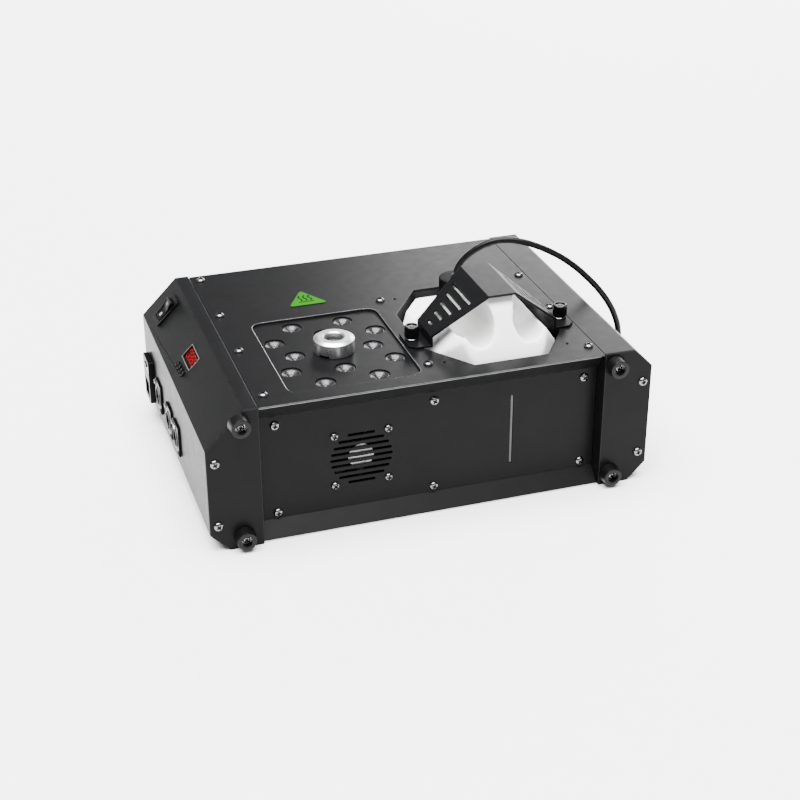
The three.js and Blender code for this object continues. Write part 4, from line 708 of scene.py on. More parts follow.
@dataclass
class Case:
    """Sheet metal panels and the screws that hold them."""

    edge: float = 0.0006
    panel_edge: float = 0.0003
    # Per panel, the bright metal finish of its painted highlight lines on the front folds and window rim.
    highlight_finishes: dict[str, Finish] = field(default_factory=lambda: {"top_plate": METAL_EDGE_HIGHLIGHT, "bottom_tray": ZINC})
    highlight_reach: float = 0.004
    top_columns: tuple[float, float] = (0.0577, 0.3614)
    top_rows: tuple[float, ...] = (0.0217, 0.112, 0.1915, 0.2782)
    top_middle: tuple[tuple[float, float], ...] = ((0.2114, 0.0335), (0.212, 0.1769))
    panel_columns: tuple[float, ...] = (0.0649, 0.2112, 0.3557)
    panel_rows: tuple[float, float] = (0.0204, 0.1083)
    left_plate: tuple[tuple[float, float], ...] = ((0.0079, 0.0263), (0.0079, 0.0886))
    right_plate: tuple[tuple[float, float], ...] = ((0.4075, 0.0294), (0.4075, 0.1032))
    base_inset: float = 0.02

    def build(self) -> None:
        """Refine every panel and fix its screws."""
        panels = ["bottom_tray", "front_panel", "rear_panel", "top_plate", "left_cover", "right_cover",
                  "left_front_plate", "left_rear_plate", "right_front_plate", "right_rear_plate"]
        for node in panels:
            flat = node.endswith("panel")
            # The covers and end plates take EDGE on their rounded edges, a painted highlight.
            piece = refined(node, f"{node}_sheet", self.panel_edge if flat else self.edge, 2,
                            (CASE, CASE if flat else EDGE))
            if node in self.highlight_finishes:
                self.paint_edge_highlights(piece, self.highlight_finishes[node])
            mount(smooth(piece), "casing", Slot.PAINT, node)
        with PanHeadScrew() as screws:
            self.fix_top(screws)
            self.fix_panels(screws)
            self.fix_plates(screws)
        with PanHeadScrew(head_radius=0.0031, head_height=0.002, slot_length=0.0034, slot_width=0.0011,
                          slot_depth=0.0012) as screws:
            self.fix_base(screws)

    def paint_edge_highlights(self, piece: bpy.types.Object, finish: Finish) -> None:
        """Paint highlight lines in bright metal on the front folds and round the light plate's window.

        Args:
            piece: The panel, with its rounded edges in the second finish.
            finish: The bright metal finish of the painted highlight lines.
        """
        low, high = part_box("light_plate")
        reach = self.highlight_reach
        piece.data.materials.append(finish.material())
        for face in piece.data.polygons:
            at, out = face.center, face.normal
            least = 0.25 if at.z > FACES.top / 2 else 0.0
            fold = at.y < FACES.panel and least <= abs(out.z) < 0.9 and out.y < -0.25
            window = (face.material_index == 1 and low.x - reach < at.x < high.x + reach
                      and low.y - reach < at.y < high.y + reach)
            if fold or window:
                face.material_index = 2

    def fix_top(self, screws: PanHeadScrew) -> None:
        """Fix the top plate's screws."""
        places = [(x, y) for x in self.top_columns for y in self.top_rows] + list(self.top_middle)
        for i, (x, y) in enumerate(places, 1):
            place = (FACES.left + x, FACES.front + y, FACES.top + GAP / 3)
            screws.fix(f"screw_top_{i}", place, Facing.UP)

    def fix_panels(self, screws: PanHeadScrew) -> None:
        """Fix the screws of the recessed front and rear panels."""
        places = [(x, z) for x in self.panel_columns for z in self.panel_rows]
        for i, (x, z) in enumerate(places, 1):
            x += FACES.left
            screws.fix(f"screw_front_{i}", (x, FACES.panel - GAP / 3, z), Facing.FRONT)
            screws.fix(f"screw_rear_{i}", (x, FACES.rear_panel + GAP / 3, z), Facing.BACK)

    def fix_plates(self, screws: PanHeadScrew) -> None:
        """Fix the screws at the outer edges of the end plates."""
        for i, (x, z) in enumerate(self.left_plate + self.right_plate, 1):
            x += FACES.left
            screws.fix(f"screw_end_front_{i}", (x, FACES.front - GAP / 3, z), Facing.FRONT)
            screws.fix(f"screw_end_rear_{i}", (x, FACES.back + GAP / 3, z), Facing.BACK)

    def fix_base(self, screws: PanHeadScrew) -> None:
        """Sink small screws into the underside, so that it still stands flat."""
        low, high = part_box("bottom_tray")
        inset = self.base_inset
        xs = (low.x + inset, (low.x + high.x) / 2, high.x - inset)
        for i, (x, y) in enumerate([(x, y) for x in xs for y in (low.y + inset, high.y - inset)], 1):
            place = (x, y, low.z + screws.head_height + GAP)
            screws.fix(f"screw_base_{i}", place, Facing.DOWN)


@dataclass
class SightWindow:
    """The translucent strip in the front panel's slot, where the fluid level shows."""

    width: float = 0.0022
    span: tuple[float, float] = (0.0318, 0.1012)
    depth: tuple[float, float] = (0.0003, 0.0012)

    def build(self) -> None:
        """Make the strip in line with the tank."""
        x, (low, high), (near, far) = middle("tank").x, self.span, self.depth
        strip = block("sight_strip", (x - self.width / 2, FACES.panel + near, low),
                      (x + self.width / 2, FACES.panel + far, high), 0.0003)
        mount(dress(smooth(strip), SIGHT), "casing", Slot.TUBE)


@dataclass
class Feet:
    """Rubber feet on the fan side, each held by a screw deep in its recess."""

    lip: float = 0.0008
    recess_radius: float = 0.0049
    recess_depth: float = 0.006
    washer_radius: float = 0.0046
    sides: int = 64

    def build(self) -> None:
        """Make the four feet from the sizes of their CAD boxes."""
        for node in ("foot_left_low", "foot_left_high", "foot_right_low", "foot_right_high"):
            low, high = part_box(node)
            base, height = (high.x - low.x) / 2, high.y - low.y
            at = spot((middle(node).x, high.y, middle(node).z), Facing.FRONT)
            self.foot(node, base, height, at)
            self.washer(node, height, at)
        with PanHeadScrew(head_radius=0.0036, head_height=0.0022, slot_length=0.0038) as screws:
            for node in ("foot_left_low", "foot_left_high", "foot_right_low", "foot_right_high"):
                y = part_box(node)[0].y + self.recess_depth - 0.0007
                screws.fix(f"{node}_screw", (middle(node).x, y, middle(node).z), Facing.FRONT)

    def foot(self, node: str, base: float, height: float, at: Matrix) -> None:
        """Make one foot: a tapered bush with a rounded lip and a deep recess."""
        face, lip, r = base * 0.875, self.lip, self.recess_radius
        floor = height - self.recess_depth
        profile = [
            (base * 0.97, 0), (base, 0.0004), (base * 0.992, 0.0016), (face, height - lip),
            (face - lip * 0.3, height - lip * 0.35), (face - lip, height), (r + lip * 0.8, height),
            (r + lip * 0.2, height - lip * 0.3), (r, height - lip), (r * 0.985, floor),
        ]
        piece = put(turned(f"{node}_rubber", profile, self.sides), at)
        mount(dress(smooth(piece), RUBBER), "casing", Slot.RUBBER, node)

    def washer(self, node: str, height: float, at: Matrix) -> None:
        """Make the washer on the floor of the recess."""
        floor = height - self.recess_depth + 0.00005
        profile = [(0.002, floor), (self.washer_radius, floor), (self.washer_radius, floor + 0.0006),
                   (0.002, floor + 0.0006)]
        piece = put(turned(f"{node}_washer", profile, 32, ring=True), at)
        mount(dress(smooth(piece), ZINC), "casing", Slot.STEEL)


# ---- Lights and nozzle --------------------------------------------------------------------------------


@dataclass
class Lights:
    """The light plate with its twelve lenses, and the nozzle in its middle."""

    corner: float = 0.012
    hole: float = 0.0093
    centre_hole: float = 0.0075
    outer: tuple[tuple[float, float], ...] = ((0.0247, 0.0582), (0.0484, 0.0301))
    inner: tuple[float, float] = (0.0369, 0.036)
    lens_radius: float = 0.0088
    dish_radius: float = 0.0079
    dish_depth: float = 0.0034
    facets: int = 18

    def build(self) -> None:
        """Make the plate, the lenses and the nozzle."""
        self.centre = Vector((NOZZLE_MIDDLE.x, NOZZLE_MIDDLE.y, 0))
        self.plate()
        self.lenses()
        Nozzle().build()

    def places(self) -> list[tuple[float, float]]:
        """Return where the lenses are, from the nozzle's axis."""
        signs = [(-1, -1), (1, -1), (1, 1), (-1, 1)]
        outer = [(i * x, j * y) for x, y in self.outer for i, j in signs]
        x, y = self.inner
        return [*outer, (-x, 0), (x, 0), (0, -y), (0, y)]

    def plate(self) -> None:
        """Cut the plate's round holes and break their edges."""
        low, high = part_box("light_plate")
        plate = block("light_plate_sheet", low, high)
        with editing(plate):
            bpy.ops.mesh.select_mode(type="EDGE")
            bpy.ops.mesh.select_all(action="DESELECT")
            mesh = bmesh.from_edit_mesh(plate.data)
            for edge in mesh.edges:
                edge.select_set(abs(edge.verts[0].co.z - edge.verts[1].co.z) > SHEET / 2)
            bmesh.update_edit_mesh(plate.data)
            bpy.ops.mesh.bevel(offset=self.corner, segments=10, affect="EDGES")
        tools = []
        for x, y in self.places():
            tools.append(self.drill(x, y, self.hole, low.z, high.z))
        tools.append(self.drill(0, 0, self.centre_hole, low.z, high.z))
        cut(plate, *tools)
        bevelled(plate, 0.0003, 2, 50)
        mount(dress(smooth(plate), CASE), "casing", Slot.PAINT, "light_plate")

    def drill(self, x: float, y: float, radius: float, low: float, high: float) -> bpy.types.Object:
        """Make a round cutting tool through the plate."""
        bpy.ops.object.select_all(action="DESELECT")
        bpy.ops.mesh.primitive_cylinder_add(vertices=56, radius=radius, depth=3 * (high - low),
                                            location=(self.centre.x + x, self.centre.y + y, (low + high) / 2))
        return fresh("drill")

    def lenses(self) -> None:
        """Make one lens, copy it to each hole and join the copies with their carrier."""
        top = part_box("lens_array")[1].z
        pattern = self.lens()
        copies = [copied(pattern, "lens", Matrix.Translation((self.centre.x + x, self.centre.y + y, top))
                         @ Matrix.Rotation(0.6 * i, 4, "Z")) for i, (x, y) in enumerate(self.places())]
        bpy.data.objects.remove(pattern)
        low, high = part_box("lens_array")
        carrier = block("carrier", low, (high.x, high.y, low.z + SHEET))
        carrier.data.materials.append(LENS_RIM.material())
        moulding = joined("lens_moulding", [*copies, carrier])
        mount(moulding, "casing", Slot.LENS, "lens_array")

    def lens(self) -> bpy.types.Object:
        """Make one lens with its top at the origin: a rim, a faceted dish and a chip behind a dome."""
        r, d, depth = self.lens_radius, self.dish_radius, self.dish_depth
        rim = turned("rim", [(d, -depth), (r, -depth), (r, -0.0004), (r - 0.0003, 0), (d + 0.0002, 0),
                             (d, -0.0003)], 48, ring=True)
        dress(smooth(rim), LENS_RIM)
        floor = -depth - 0.0004
        dish = turned("dish", [(d, floor), (d, -0.0005), (0.93 * d, -0.0007), (0.62 * d, -0.0021),
                               (0.36 * d, -depth), (0.34 * d, -depth)], self.facets)
        dress(dish, LENS)
        dome = turned("dome", [(0.3 * d, -depth), (0.29 * d, -depth + 0.0009), (0.22 * d, -depth + 0.0017),
                               (0.1 * d, -depth + 0.0021)], 24)
        dress(smooth(dome, 60), CHIP)
        return joined("lens_pattern", [rim, dish, dome])


@dataclass
class Nozzle:
    """The bright ring on the light plate and the jet tube inside it."""

    bore: float = 0.0089
    chamfer: float = 0.0036
    bore_chamfer: float = 0.0011
    notch: tuple[float, float] = (0.01, 0.0022)
    notch_first: float = math.pi / 4
    jet_bore: float = 0.002
    sides: int = 120

    def build(self) -> None:
        """Make the ring and the tube."""
        self.ring()
        self.jet()

    def ring(self) -> None:
        """Turn the ring and mill the notches in its underside."""
        low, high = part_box("nozzle_ring")
        r, h = (high.x - low.x) / 2, high.z - low.z
        b, c, bc = self.bore, self.chamfer, self.bore_chamfer
        profile = [(b, 0.0003), (b + 0.0003, 0), (r - 0.0004, 0), (r, 0.0004), (r, h - c / 2), (r - c, h),
                   (b + bc, h), (b, h - bc)]
        ring = turned("nozzle_ring_turned", profile, self.sides, ring=True)
        width, height = self.notch
        tools = []
        for i in range(3):
            tool = block("mill", (b + 0.003, -width / 2, -0.001), (r + 0.002, width / 2, height))
            tools.append(put(tool, Matrix.Rotation(self.notch_first + i * 2 * math.pi / 3, 4, "Z")))
        cut(ring, *tools)
        bevelled(ring, 0.00022, 2, 25)
        put(ring, spot((NOZZLE_MIDDLE.x, NOZZLE_MIDDLE.y, low.z)))
        mount(dress(smooth(ring, 24), BRIGHT), "casing", Slot.BRIGHT, "nozzle_ring")

    def jet(self) -> None:
        """Turn the jet tube with its flange and rounded tip."""
        low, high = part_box("jet_tube")
        flange, h = (high.x - low.x) / 2, high.z - low.z
        tube, b = flange * 0.54, self.jet_bore
        profile = [(b, 0), (flange, 0), (flange, 0.004), (tube + 0.0006, 0.004), (tube, 0.0046),
                   (tube, h - 0.0016), (tube - 0.0005, h - 0.0005), (tube - 0.0015, h), (b + 0.0006, h),
                   (b, h - 0.0008)]
        jet = put(turned("jet_tube_turned", profile, 64, ring=True), spot((*NOZZLE_MIDDLE.xy, low.z)))
        mount(dress(smooth(jet), SOOTED), "casing", Slot.STEEL, "jet_tube")


# ---- Tank ---------------------------------------------------------------------------------------------


@dataclass
class Tank:
    """The blown tank with its cap and hose grommet."""

    voxel: float = 0.0016
    rounding: int = 14
    flutes: int = 12
    flute_radius: float = 0.0034
    flute_depth: float = 0.0013
    flute_length: float = 0.92
    flute_middle: float = 0.42
    cap_wall: float = 0.0034
    cap_edge: float = 0.0012

    def build(self) -> None:
        """Make the tank, the cap and the grommet."""
        self.bottle()
        self.cap()
        self.grommet()

    def bottle(self) -> None:
        """Soften the tank's solid into a blown shape."""
        bottle = refined("tank", "tank_bottle", 0)
        remesh = bottle.modifiers.new("skin", "REMESH")
        remesh.mode = "VOXEL"
        remesh.voxel_size = self.voxel
        soften = bottle.modifiers.new("soft", "SMOOTH")
        soften.factor = 0.5
        soften.iterations = self.rounding
        apply_modifiers(bottle)
        only(bottle)
        bpy.ops.object.shade_smooth()
        mount(dress(bottle, TANK), "tank_unit", Slot.TANK, "tank")

    def cap(self) -> None:
        """Make the cap: a cup turned over, with flutes down its side."""
        low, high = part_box("tank_cap")
        r, h, e = (high.x - low.x) / 2, high.z - low.z, self.cap_edge
        bore = r - self.cap_wall
        profile = [(bore, h - 0.0025), (bore, 0), (r - 0.0004, 0), (r, 0.0005), (r, h - e),
                   (r - 0.3 * e, h - 0.35 * e), (r - e, h), (r * 0.5, h)]
        cap = turned("tank_cap_fluted", profile, 96)
        tools = []
        for i in range(self.flutes):
            angle = 2 * math.pi * i / self.flutes
            reach = r + self.flute_radius - self.flute_depth
            bpy.ops.object.select_all(action="DESELECT")
            middle_of = (reach * math.cos(angle), reach * math.sin(angle), h * self.flute_middle)
            bpy.ops.mesh.primitive_cylinder_add(
                vertices=24, radius=self.flute_radius, depth=h * self.flute_length, location=middle_of)
            tools.append(fresh("flute"))
        cut(cap, *tools)
        bevelled(cap, 0.0003, 2, 40)
        put(cap, spot((*middle("tank_cap").xy, low.z)))
        mount(dress(smooth(cap), CAP_PLASTIC), "cap", Slot.PLASTIC, "tank_cap")

    def grommet(self) -> None:
        """Turn the grommet that the hose goes into."""
        low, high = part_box("cap_grommet")
        r, h = (high.x - low.x) / 2, high.z - low.z
        profile = [(r * 0.95, 0), (r, 0.0003), (r, h * 0.35), (r * 0.86, h * 0.6), (r * 0.7, h - 0.0002),
                   (r * 0.64, h)]
        grommet = put(turned("cap_grommet_turned", profile, 48), spot((*middle("cap_grommet").xy, low.z)))
        mount(dress(smooth(grommet, 50), RUBBER), "cap", Slot.RUBBER, "cap_grommet")


@dataclass
class Strap:
    """The slotted strap over the tank and the thumb screws at its feet."""

    fold: float = 0.0004
    knurls: int = 28
    knurl_depth: float = 0.00045
    dish: tuple[float, float] = (0.0044, 0.0011)
    stud_radius: float = 0.0024

    def build(self) -> None:
        """Make the strap and both thumb screws."""
        strap = refined("tank_strap", "tank_strap_folded", self.fold, 3, (STRAP_PAINT, STRAP_PAINT))
        mount(smooth(strap, 40), "strap", Slot.PAINT, "tank_strap")
        for side in ("left", "right"):
            self.thumb_screw(side)
            self.collar(side)

    def thumb_screw(self, side: str) -> None:
        """Make a knurled knob with a dished top and its stud."""
        node = f"thumb_screw_{side}"
        low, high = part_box(node)
        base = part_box(f"collar_{side}")[1].z + GAP
        r, h = (high.x - low.x) / 2, high.z - base
        dish, depth = self.dish
        profile = [(r * 0.82, 0), (r * 0.98, 0.0008), (r, 0.0014), (r, h - 0.0016), (r * 0.97, h - 0.0006),
                   (r * 0.86, h), (dish + 0.0004, h), (dish, h - 0.0003), (dish * 0.96, h - depth),
                   (dish * 0.5, h - depth), (dish * 0.45, h - depth + 0.0005),
                   (dish * 0.2, h - depth + 0.0005)]
        knob = turned("knob", profile, self.knurls * 4)
        step = 2 * math.pi / self.knurls

        def in_groove(point: Vector) -> bool:
            turn = math.atan2(point.y, point.x) % step
            on_rim = point.xy.length > r * 0.9 and 0.001 < point.z < h - 0.001
            return min(turn, step - turn) < step / 8 and on_rim

        with editing(knob):
            pick_points(knob, in_groove)
            inward = (r - self.knurl_depth) / r
            bpy.ops.transform.resize(value=(inward, inward, 1), center_override=(0, 0, h / 2))
        tip, thread = low.z - base, self.stud_radius
        stud = turned("stud", [(thread * 0.8, tip), (thread, tip + 0.0006), (thread, 0.001)], 24)
        dress(smooth(knob, 28), GLOSSY)
        dress(smooth(stud), ZINC)
        whole = put(joined(f"{node}_knurled", [knob, stud]), spot((*middle(node).xy, base)))
        mount(whole, f"thumb_{side}", Slot.PLASTIC, node)

    def collar(self, side: str) -> None:
        """Turn the bright collar under a knob."""
        node = f"collar_{side}"
        low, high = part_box(node)
        r, h, hole = (high.x - low.x) / 2, high.z - low.z, self.stud_radius + 0.0004
        profile = [(hole, 0), (r - 0.0003, 0), (r, 0.0004), (r, h - 0.0004), (r - 0.0004, h), (hole, h)]
        collar = put(turned(f"{node}_turned", profile, 48, ring=True), spot((*middle(node).xy, low.z)))
        mount(dress(smooth(collar), CHROME), f"thumb_{side}", Slot.STEEL, node)


# ---- Hose ---------------------------------------------------------------------------------------------


@dataclass
class Hose:
    """The black feed hose from the tank cap, over the right end, to its grommet."""

    radius: float = 0.003
    route: tuple[tuple[float, float, float], ...] = (
        (79, 22, 157.6), (79.3, 21.9, 161.6), (81.6, 21.4, 167), (86.2, 20.3, 173), (92.6, 18.7, 179),
        (100.6, 16.7, 184.4), (111, 14.1, 188.9), (124.4, 10.8, 190.6), (138.8, 7.2, 188.6),
        (153.2, 3.7, 183.8), (173, -1.2, 173.8), (188, -4.9, 163.2), (203.1, -8.6, 149.2),
        (216.8, -12, 133.5), (226.5, -14.4, 118.8), (233, -15.8, 104.5), (236.2, -16.6, 92),
        (236.5, -17, 81), (233.2, -17, 68.5), (224, -17, 59.3), (216, -17, 56.3), (211, -17, 56),
    )
    millimetre: float = 0.001

    def build(self) -> None:
        """Lay the hose along its route and make the grommet at its end."""
        points = [Vector(p) * self.millimetre for p in self.route]
        curve = bpy.data.curves.new("feed_hose", "CURVE")
        curve.dimensions = "3D"
        curve.bevel_depth = self.radius
        curve.bevel_resolution = 6
        curve.resolution_u = 8
        curve.use_fill_caps = True
        spline = curve.splines.new("BEZIER")
        spline.bezier_points.add(len(points) - 1)
        for handle, place in zip(spline.bezier_points, points):
            handle.co = place
            handle.handle_left_type = "AUTO"
            handle.handle_right_type = "AUTO"
        hose = bpy.data.objects.new("feed_hose", curve)
        bpy.context.scene.collection.objects.link(hose)
        curve.materials.append(HOSE_RUBBER.material())
        mount(hose, "tank_unit", Slot.PLASTIC, "hose")
        self.grommet()

    def grommet(self) -> None:
        """Turn the grommet in the right end that the hose is pushed into."""
        low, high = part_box("inlet_grommet")
        r, outside = (high.z - low.z) / 2, FACES.right + GAP
        bush, proud, inner = r - 0.002 - GAP, high.x - outside, outside - low.x
        profile = [(bush, -inner), (bush, 0), (r - 0.0003, 0), (r, 0.0003), (r, proud * 0.4),
                   (r * 0.85, proud * 0.8), (r * 0.6, proud)]
        grommet = turned("inlet_grommet_turned", profile, 48)
        put(grommet, spot((outside, middle("inlet_grommet").y, middle("inlet_grommet").z), Facing.RIGHT))
        mount(dress(smooth(grommet, 40), RUBBER), "casing", Slot.RUBBER, "inlet_grommet")


# ---- Fan ----------------------------------------------------------------------------------------------


@dataclass
class Fan:
    """The fan behind the grille: a frame, and a rotor with curved blades and a bright hub label."""

    blades: int = 7
    hub_radius: float = 0.013
    tip_radius: float = 0.0272
    chord: float = 0.019
    thickness: float = 0.0012
    pitch: float = 50.0
    twist: float = 16.0
    label_radius: float = 0.0118
    screw_pitch: float = 0.05

    def build(self) -> None:
        """Make the frame, the rotor and the four screws."""
        mount(dress(smooth(refined("fan_frame", "fan_frame_moulded", 0.0004)), PLASTIC), "casing",
              Slot.PLASTIC, "fan_frame")
        self.rotor()
        centre = middle("fan_frame")
        half = self.screw_pitch / 2
        with PanHeadScrew(head_radius=0.0038) as screws:
            for i, (x, z) in enumerate([(-half, -half), (half, -half), (half, half), (-half, half)], 1):
                at = (centre.x + x, FACES.panel - GAP / 3, centre.z + z)
                screws.fix(f"screw_fan_{i}", at, Facing.FRONT)

    def rotor(self) -> None:
        """Turn the hub, shape one blade and copy it round."""
        low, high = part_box("fan_rotor")
        depth = high.y - low.y
        r = self.hub_radius
        hub = turned("hub", [(r * 0.9, 0), (r, 0.0008), (r, depth - 0.0015), (r - 0.0004, depth - 0.0005),
                             (r - 0.0014, depth)], 64)
        blade = self.blade(depth)
        blades = [copied(blade, "blade", Matrix.Rotation(2 * math.pi * i / self.blades, 4, "Z"))
                  for i in range(self.blades)]
        bpy.data.objects.remove(blade)
        rotor = smooth(joined("fan_rotor_moulded", [hub, *blades]), 40)
        at = spot((middle("fan_rotor").x, high.y, middle("fan_frame").z), Facing.FRONT)
        mount(dress(put(rotor, at), PLASTIC), "fan", Slot.PLASTIC, "fan_rotor")
        label = turned("label", [(self.label_radius, depth + 0.00005), (self.label_radius, depth + 0.0002),
                                 (self.label_radius * 0.3, depth + 0.0002)], 64)
        label.name = "fan_hub_label"
        mount(dress(smooth(put(label, at)), FOIL), "fan", Slot.STEEL)

    def blade(self, depth: float) -> bpy.types.Object:
        """Make one twisted blade, pointing along +X from the hub."""
        span = self.tip_radius - self.hub_radius + 0.001
        bpy.ops.object.select_all(action="DESELECT")
        bpy.ops.mesh.primitive_grid_add(x_subdivisions=8, y_subdivisions=8, size=1)
        piece = bpy.context.active_object
        piece.scale = (span, self.chord, 1)
        piece = fresh("blade")
        wall = piece.modifiers.new("wall", "SOLIDIFY")
        wall.thickness = self.thickness
        wall.offset = 0
        turn = piece.modifiers.new("twist", "SIMPLE_DEFORM")
        turn.deform_method = "TWIST"
        turn.deform_axis = "X"
        turn.angle = math.radians(self.twist)
        apply_modifiers(piece)
        put(piece, Matrix.Rotation(math.radians(90 - self.pitch), 4, "X"))
        return put(piece, Matrix.Translation((self.hub_radius - 0.001 + span / 2, 0, depth / 2)))


# ---- Controls -----------------------------------------------------------------------------------------


@dataclass
class Controls:
    """Switch, display and buttons on the sloping face of the left end."""

    slope_foot: float = 0.035
    switch_u: float = 0.0255
    bezel: tuple[float, float, float] = (0.031, 0.025, 0.0016)
    rocker_size: tuple[float, float] = (0.0216, 0.0156)
    rocker_tilt: float = 10.0
    mark_place: float = 0.55
    mark_bar: tuple[float, float] = (0.0019, 0.00035)
    mark_ring: tuple[float, float] = (0.0012, 0.0019)
    mark_lift: float = 0.00006
    ink: float = 0.0001
    display_u: float = 0.0272
    display_size: tuple[float, float] = (0.0135, 0.03)
    frame_bar: tuple[float, float] = (0.0006, 0.0003)
    frame_height: tuple[float, float] = (0.0002, 0.0005)
    digit: tuple[float, float] = (0.0082, 0.0048)
    segment: float = 0.0009
    shown: tuple[str, ...] = ("abcdef", "abcdefg", "abcdefg", "abcdef")
    button_u: float = 0.0127
    button_radius: float = 0.0027
    button_proud: float = 0.0013

    def build(self) -> None:
        """Make everything on the slope."""
        self.slope = Matrix.Translation((FACES.left, 0, FACES.top - self.slope_foot)) @ Matrix.Rotation(
            -math.pi / 4, 4, "Y")
        self.switch()
        self.display()
        self.buttons()

    def switch(self) -> None:
        """Make the bezel and the rocker with its two marks."""
        housing = refined("switch_housing", "switch_bezel", 0.00035)
        mount(dress(smooth(housing), PLASTIC), "casing", Slot.PLASTIC, "switch_housing")
        v = middle("rocker").y
        tilt = math.radians(self.rocker_tilt)
        length, width = self.rocker_size
        half = length / 2
        rise = half * math.tan(tilt)
        reach = half * math.cos(tilt)
        rocker = block("rocker_cap", (-reach, -width / 2, -0.003), (reach, width / 2, rise))
        with editing(rocker):
            bpy.ops.mesh.subdivide(number_cuts=7)
            for column in range(1, 8):
                x = reach * (column / 4 - 1)
                drop = rise * (1 - abs(x) / reach)
                pick_points(rocker, lambda p: p.z > rise * 0.99 and abs(p.x - x) < reach / 16)
                bpy.ops.transform.translate(value=(0, 0, -drop))
        bevelled(rocker, 0.0004, 2, 35)
        at = self.slope @ Matrix.Translation((self.switch_u, v, GAP + self.bezel[2])) @ Matrix.Rotation(
            -tilt, 4, "Y")
        mount(dress(smooth(put(rocker, at), 45), CAP_PLASTIC), "switch", Slot.PLASTIC, "rocker")
        self.marks(at, half)

    def marks(self, at: Matrix, half: float) -> None:
        """Make the bar and the ring that mark on and off.

        Args:
            at: The rocker's place on the slope.
            half: Half the rocker's length.
        """
        tilt, place = math.radians(self.rocker_tilt), half * self.mark_place
        height = place * math.tan(tilt) / math.cos(tilt) + self.mark_lift
        length, width = self.mark_bar
        bar = block("bar", (-length, -width, 0), (length, width, self.ink))
        put(bar, Matrix.Translation((place, 0, height)) @ Matrix.Rotation(-tilt, 4, "Y"))
        inner, outer = self.mark_ring
        profile = [(inner, 0), (outer, 0), (outer, self.ink), (inner, self.ink)]
        ring = turned("ring", profile, 32, ring=True)
        put(ring, Matrix.Translation((-place, 0, height)) @ Matrix.Rotation(tilt, 4, "Y"))
        mark = put(joined("rocker_marks", [bar, ring]), at)
        mount(dress(mark, PRINT), "switch", Slot.PLASTIC)

    def display(self) -> None:
        """Make the display window, its light frame and its lit digits."""
        v = middle("display").y
        width, length = self.display_size
        window = refined("display", "display_window", 0.0002)
        mount(dress(smooth(window), WINDOW), "casing", Slot.DISPLAY, "display")
        surface = Matrix.Translation((self.display_u, v, -0.0012))
        pitch = length / (len(self.shown) + 0.2)
        bars = []
        for i, lit in enumerate(self.shown):
            centre = (i - (len(self.shown) - 1) / 2) * pitch
            bars += [self.bar(letter, centre) for letter in lit]
        digits = put(joined("display_digits", bars), self.slope @ surface)
        mount(dress(digits, DIGIT), "casing", Slot.DISPLAY)
        (gap, half), (foot, top) = self.frame_bar, self.frame_height
        across, along = width / 2 + gap, length / 2 + gap
        frame_bars = [
            block("side", (-across - half, s * along - half, foot), (across + half, s * along + half, top))
            for s in (-1, 1)
        ] + [
            block("side", (s * across - half, -along - half, foot), (s * across + half, along + half, top))
            for s in (-1, 1)
        ]
        rim = put(joined("display_rim", frame_bars),
                  self.slope @ Matrix.Translation((self.display_u, v, 0)))
        mount(dress(rim, ZINC), "casing", Slot.STEEL)

    def bar(self, letter: str, centre: float) -> bpy.types.Object:
        """Make one segment of a digit, named by its usual letter."""
        tall, wide = self.digit
        t = self.segment
        across = {"a": tall / 2, "g": 0.0, "d": -tall / 2}
        upright = {"f": (1, -1), "b": (1, 1), "e": (-1, -1), "c": (-1, 1)}
        if letter in across:
            u, low, high = across[letter], -wide / 2 + t * 0.6, wide / 2 - t * 0.6
            return block("bar", (u - t / 2, centre + low, 0.00003), (u + t / 2, centre + high, 0.00015))
        up, side = upright[letter]
        near, far = sorted((up * t * 0.6, up * (tall / 2 - t * 0.6)))
        v = centre + side * wide / 2
        return block("bar", (near, v - t / 2, 0.00003), (far, v + t / 2, 0.00015))

    def buttons(self) -> None:
        """Turn the round keys."""
        r, top = self.button_radius, self.button_proud
        for i in range(1, 5):
            node = f"button_{i}"
            profile = [(r - 0.0012, -0.0072), (r - 0.0012, -0.0024), (r + 0.0007, -0.0024),
                       (r + 0.0007, -0.0018), (r, -0.0018), (r, top - 0.0005), (r - 0.00015, top - 0.00015),
                       (r - 0.0005, top), (r * 0.6, top - 0.0001), (r * 0.3, top - 0.00018)]
            key = turned(f"{node}_key", profile, 40)
            at = self.slope @ Matrix.Translation((self.button_u, middle(node).y, 0))
            mount(dress(smooth(put(key, at), 40), PLASTIC), f"key_{i}", Slot.PLASTIC, node)


# ---- Sockets ------------------------------------------------------------------------------------------


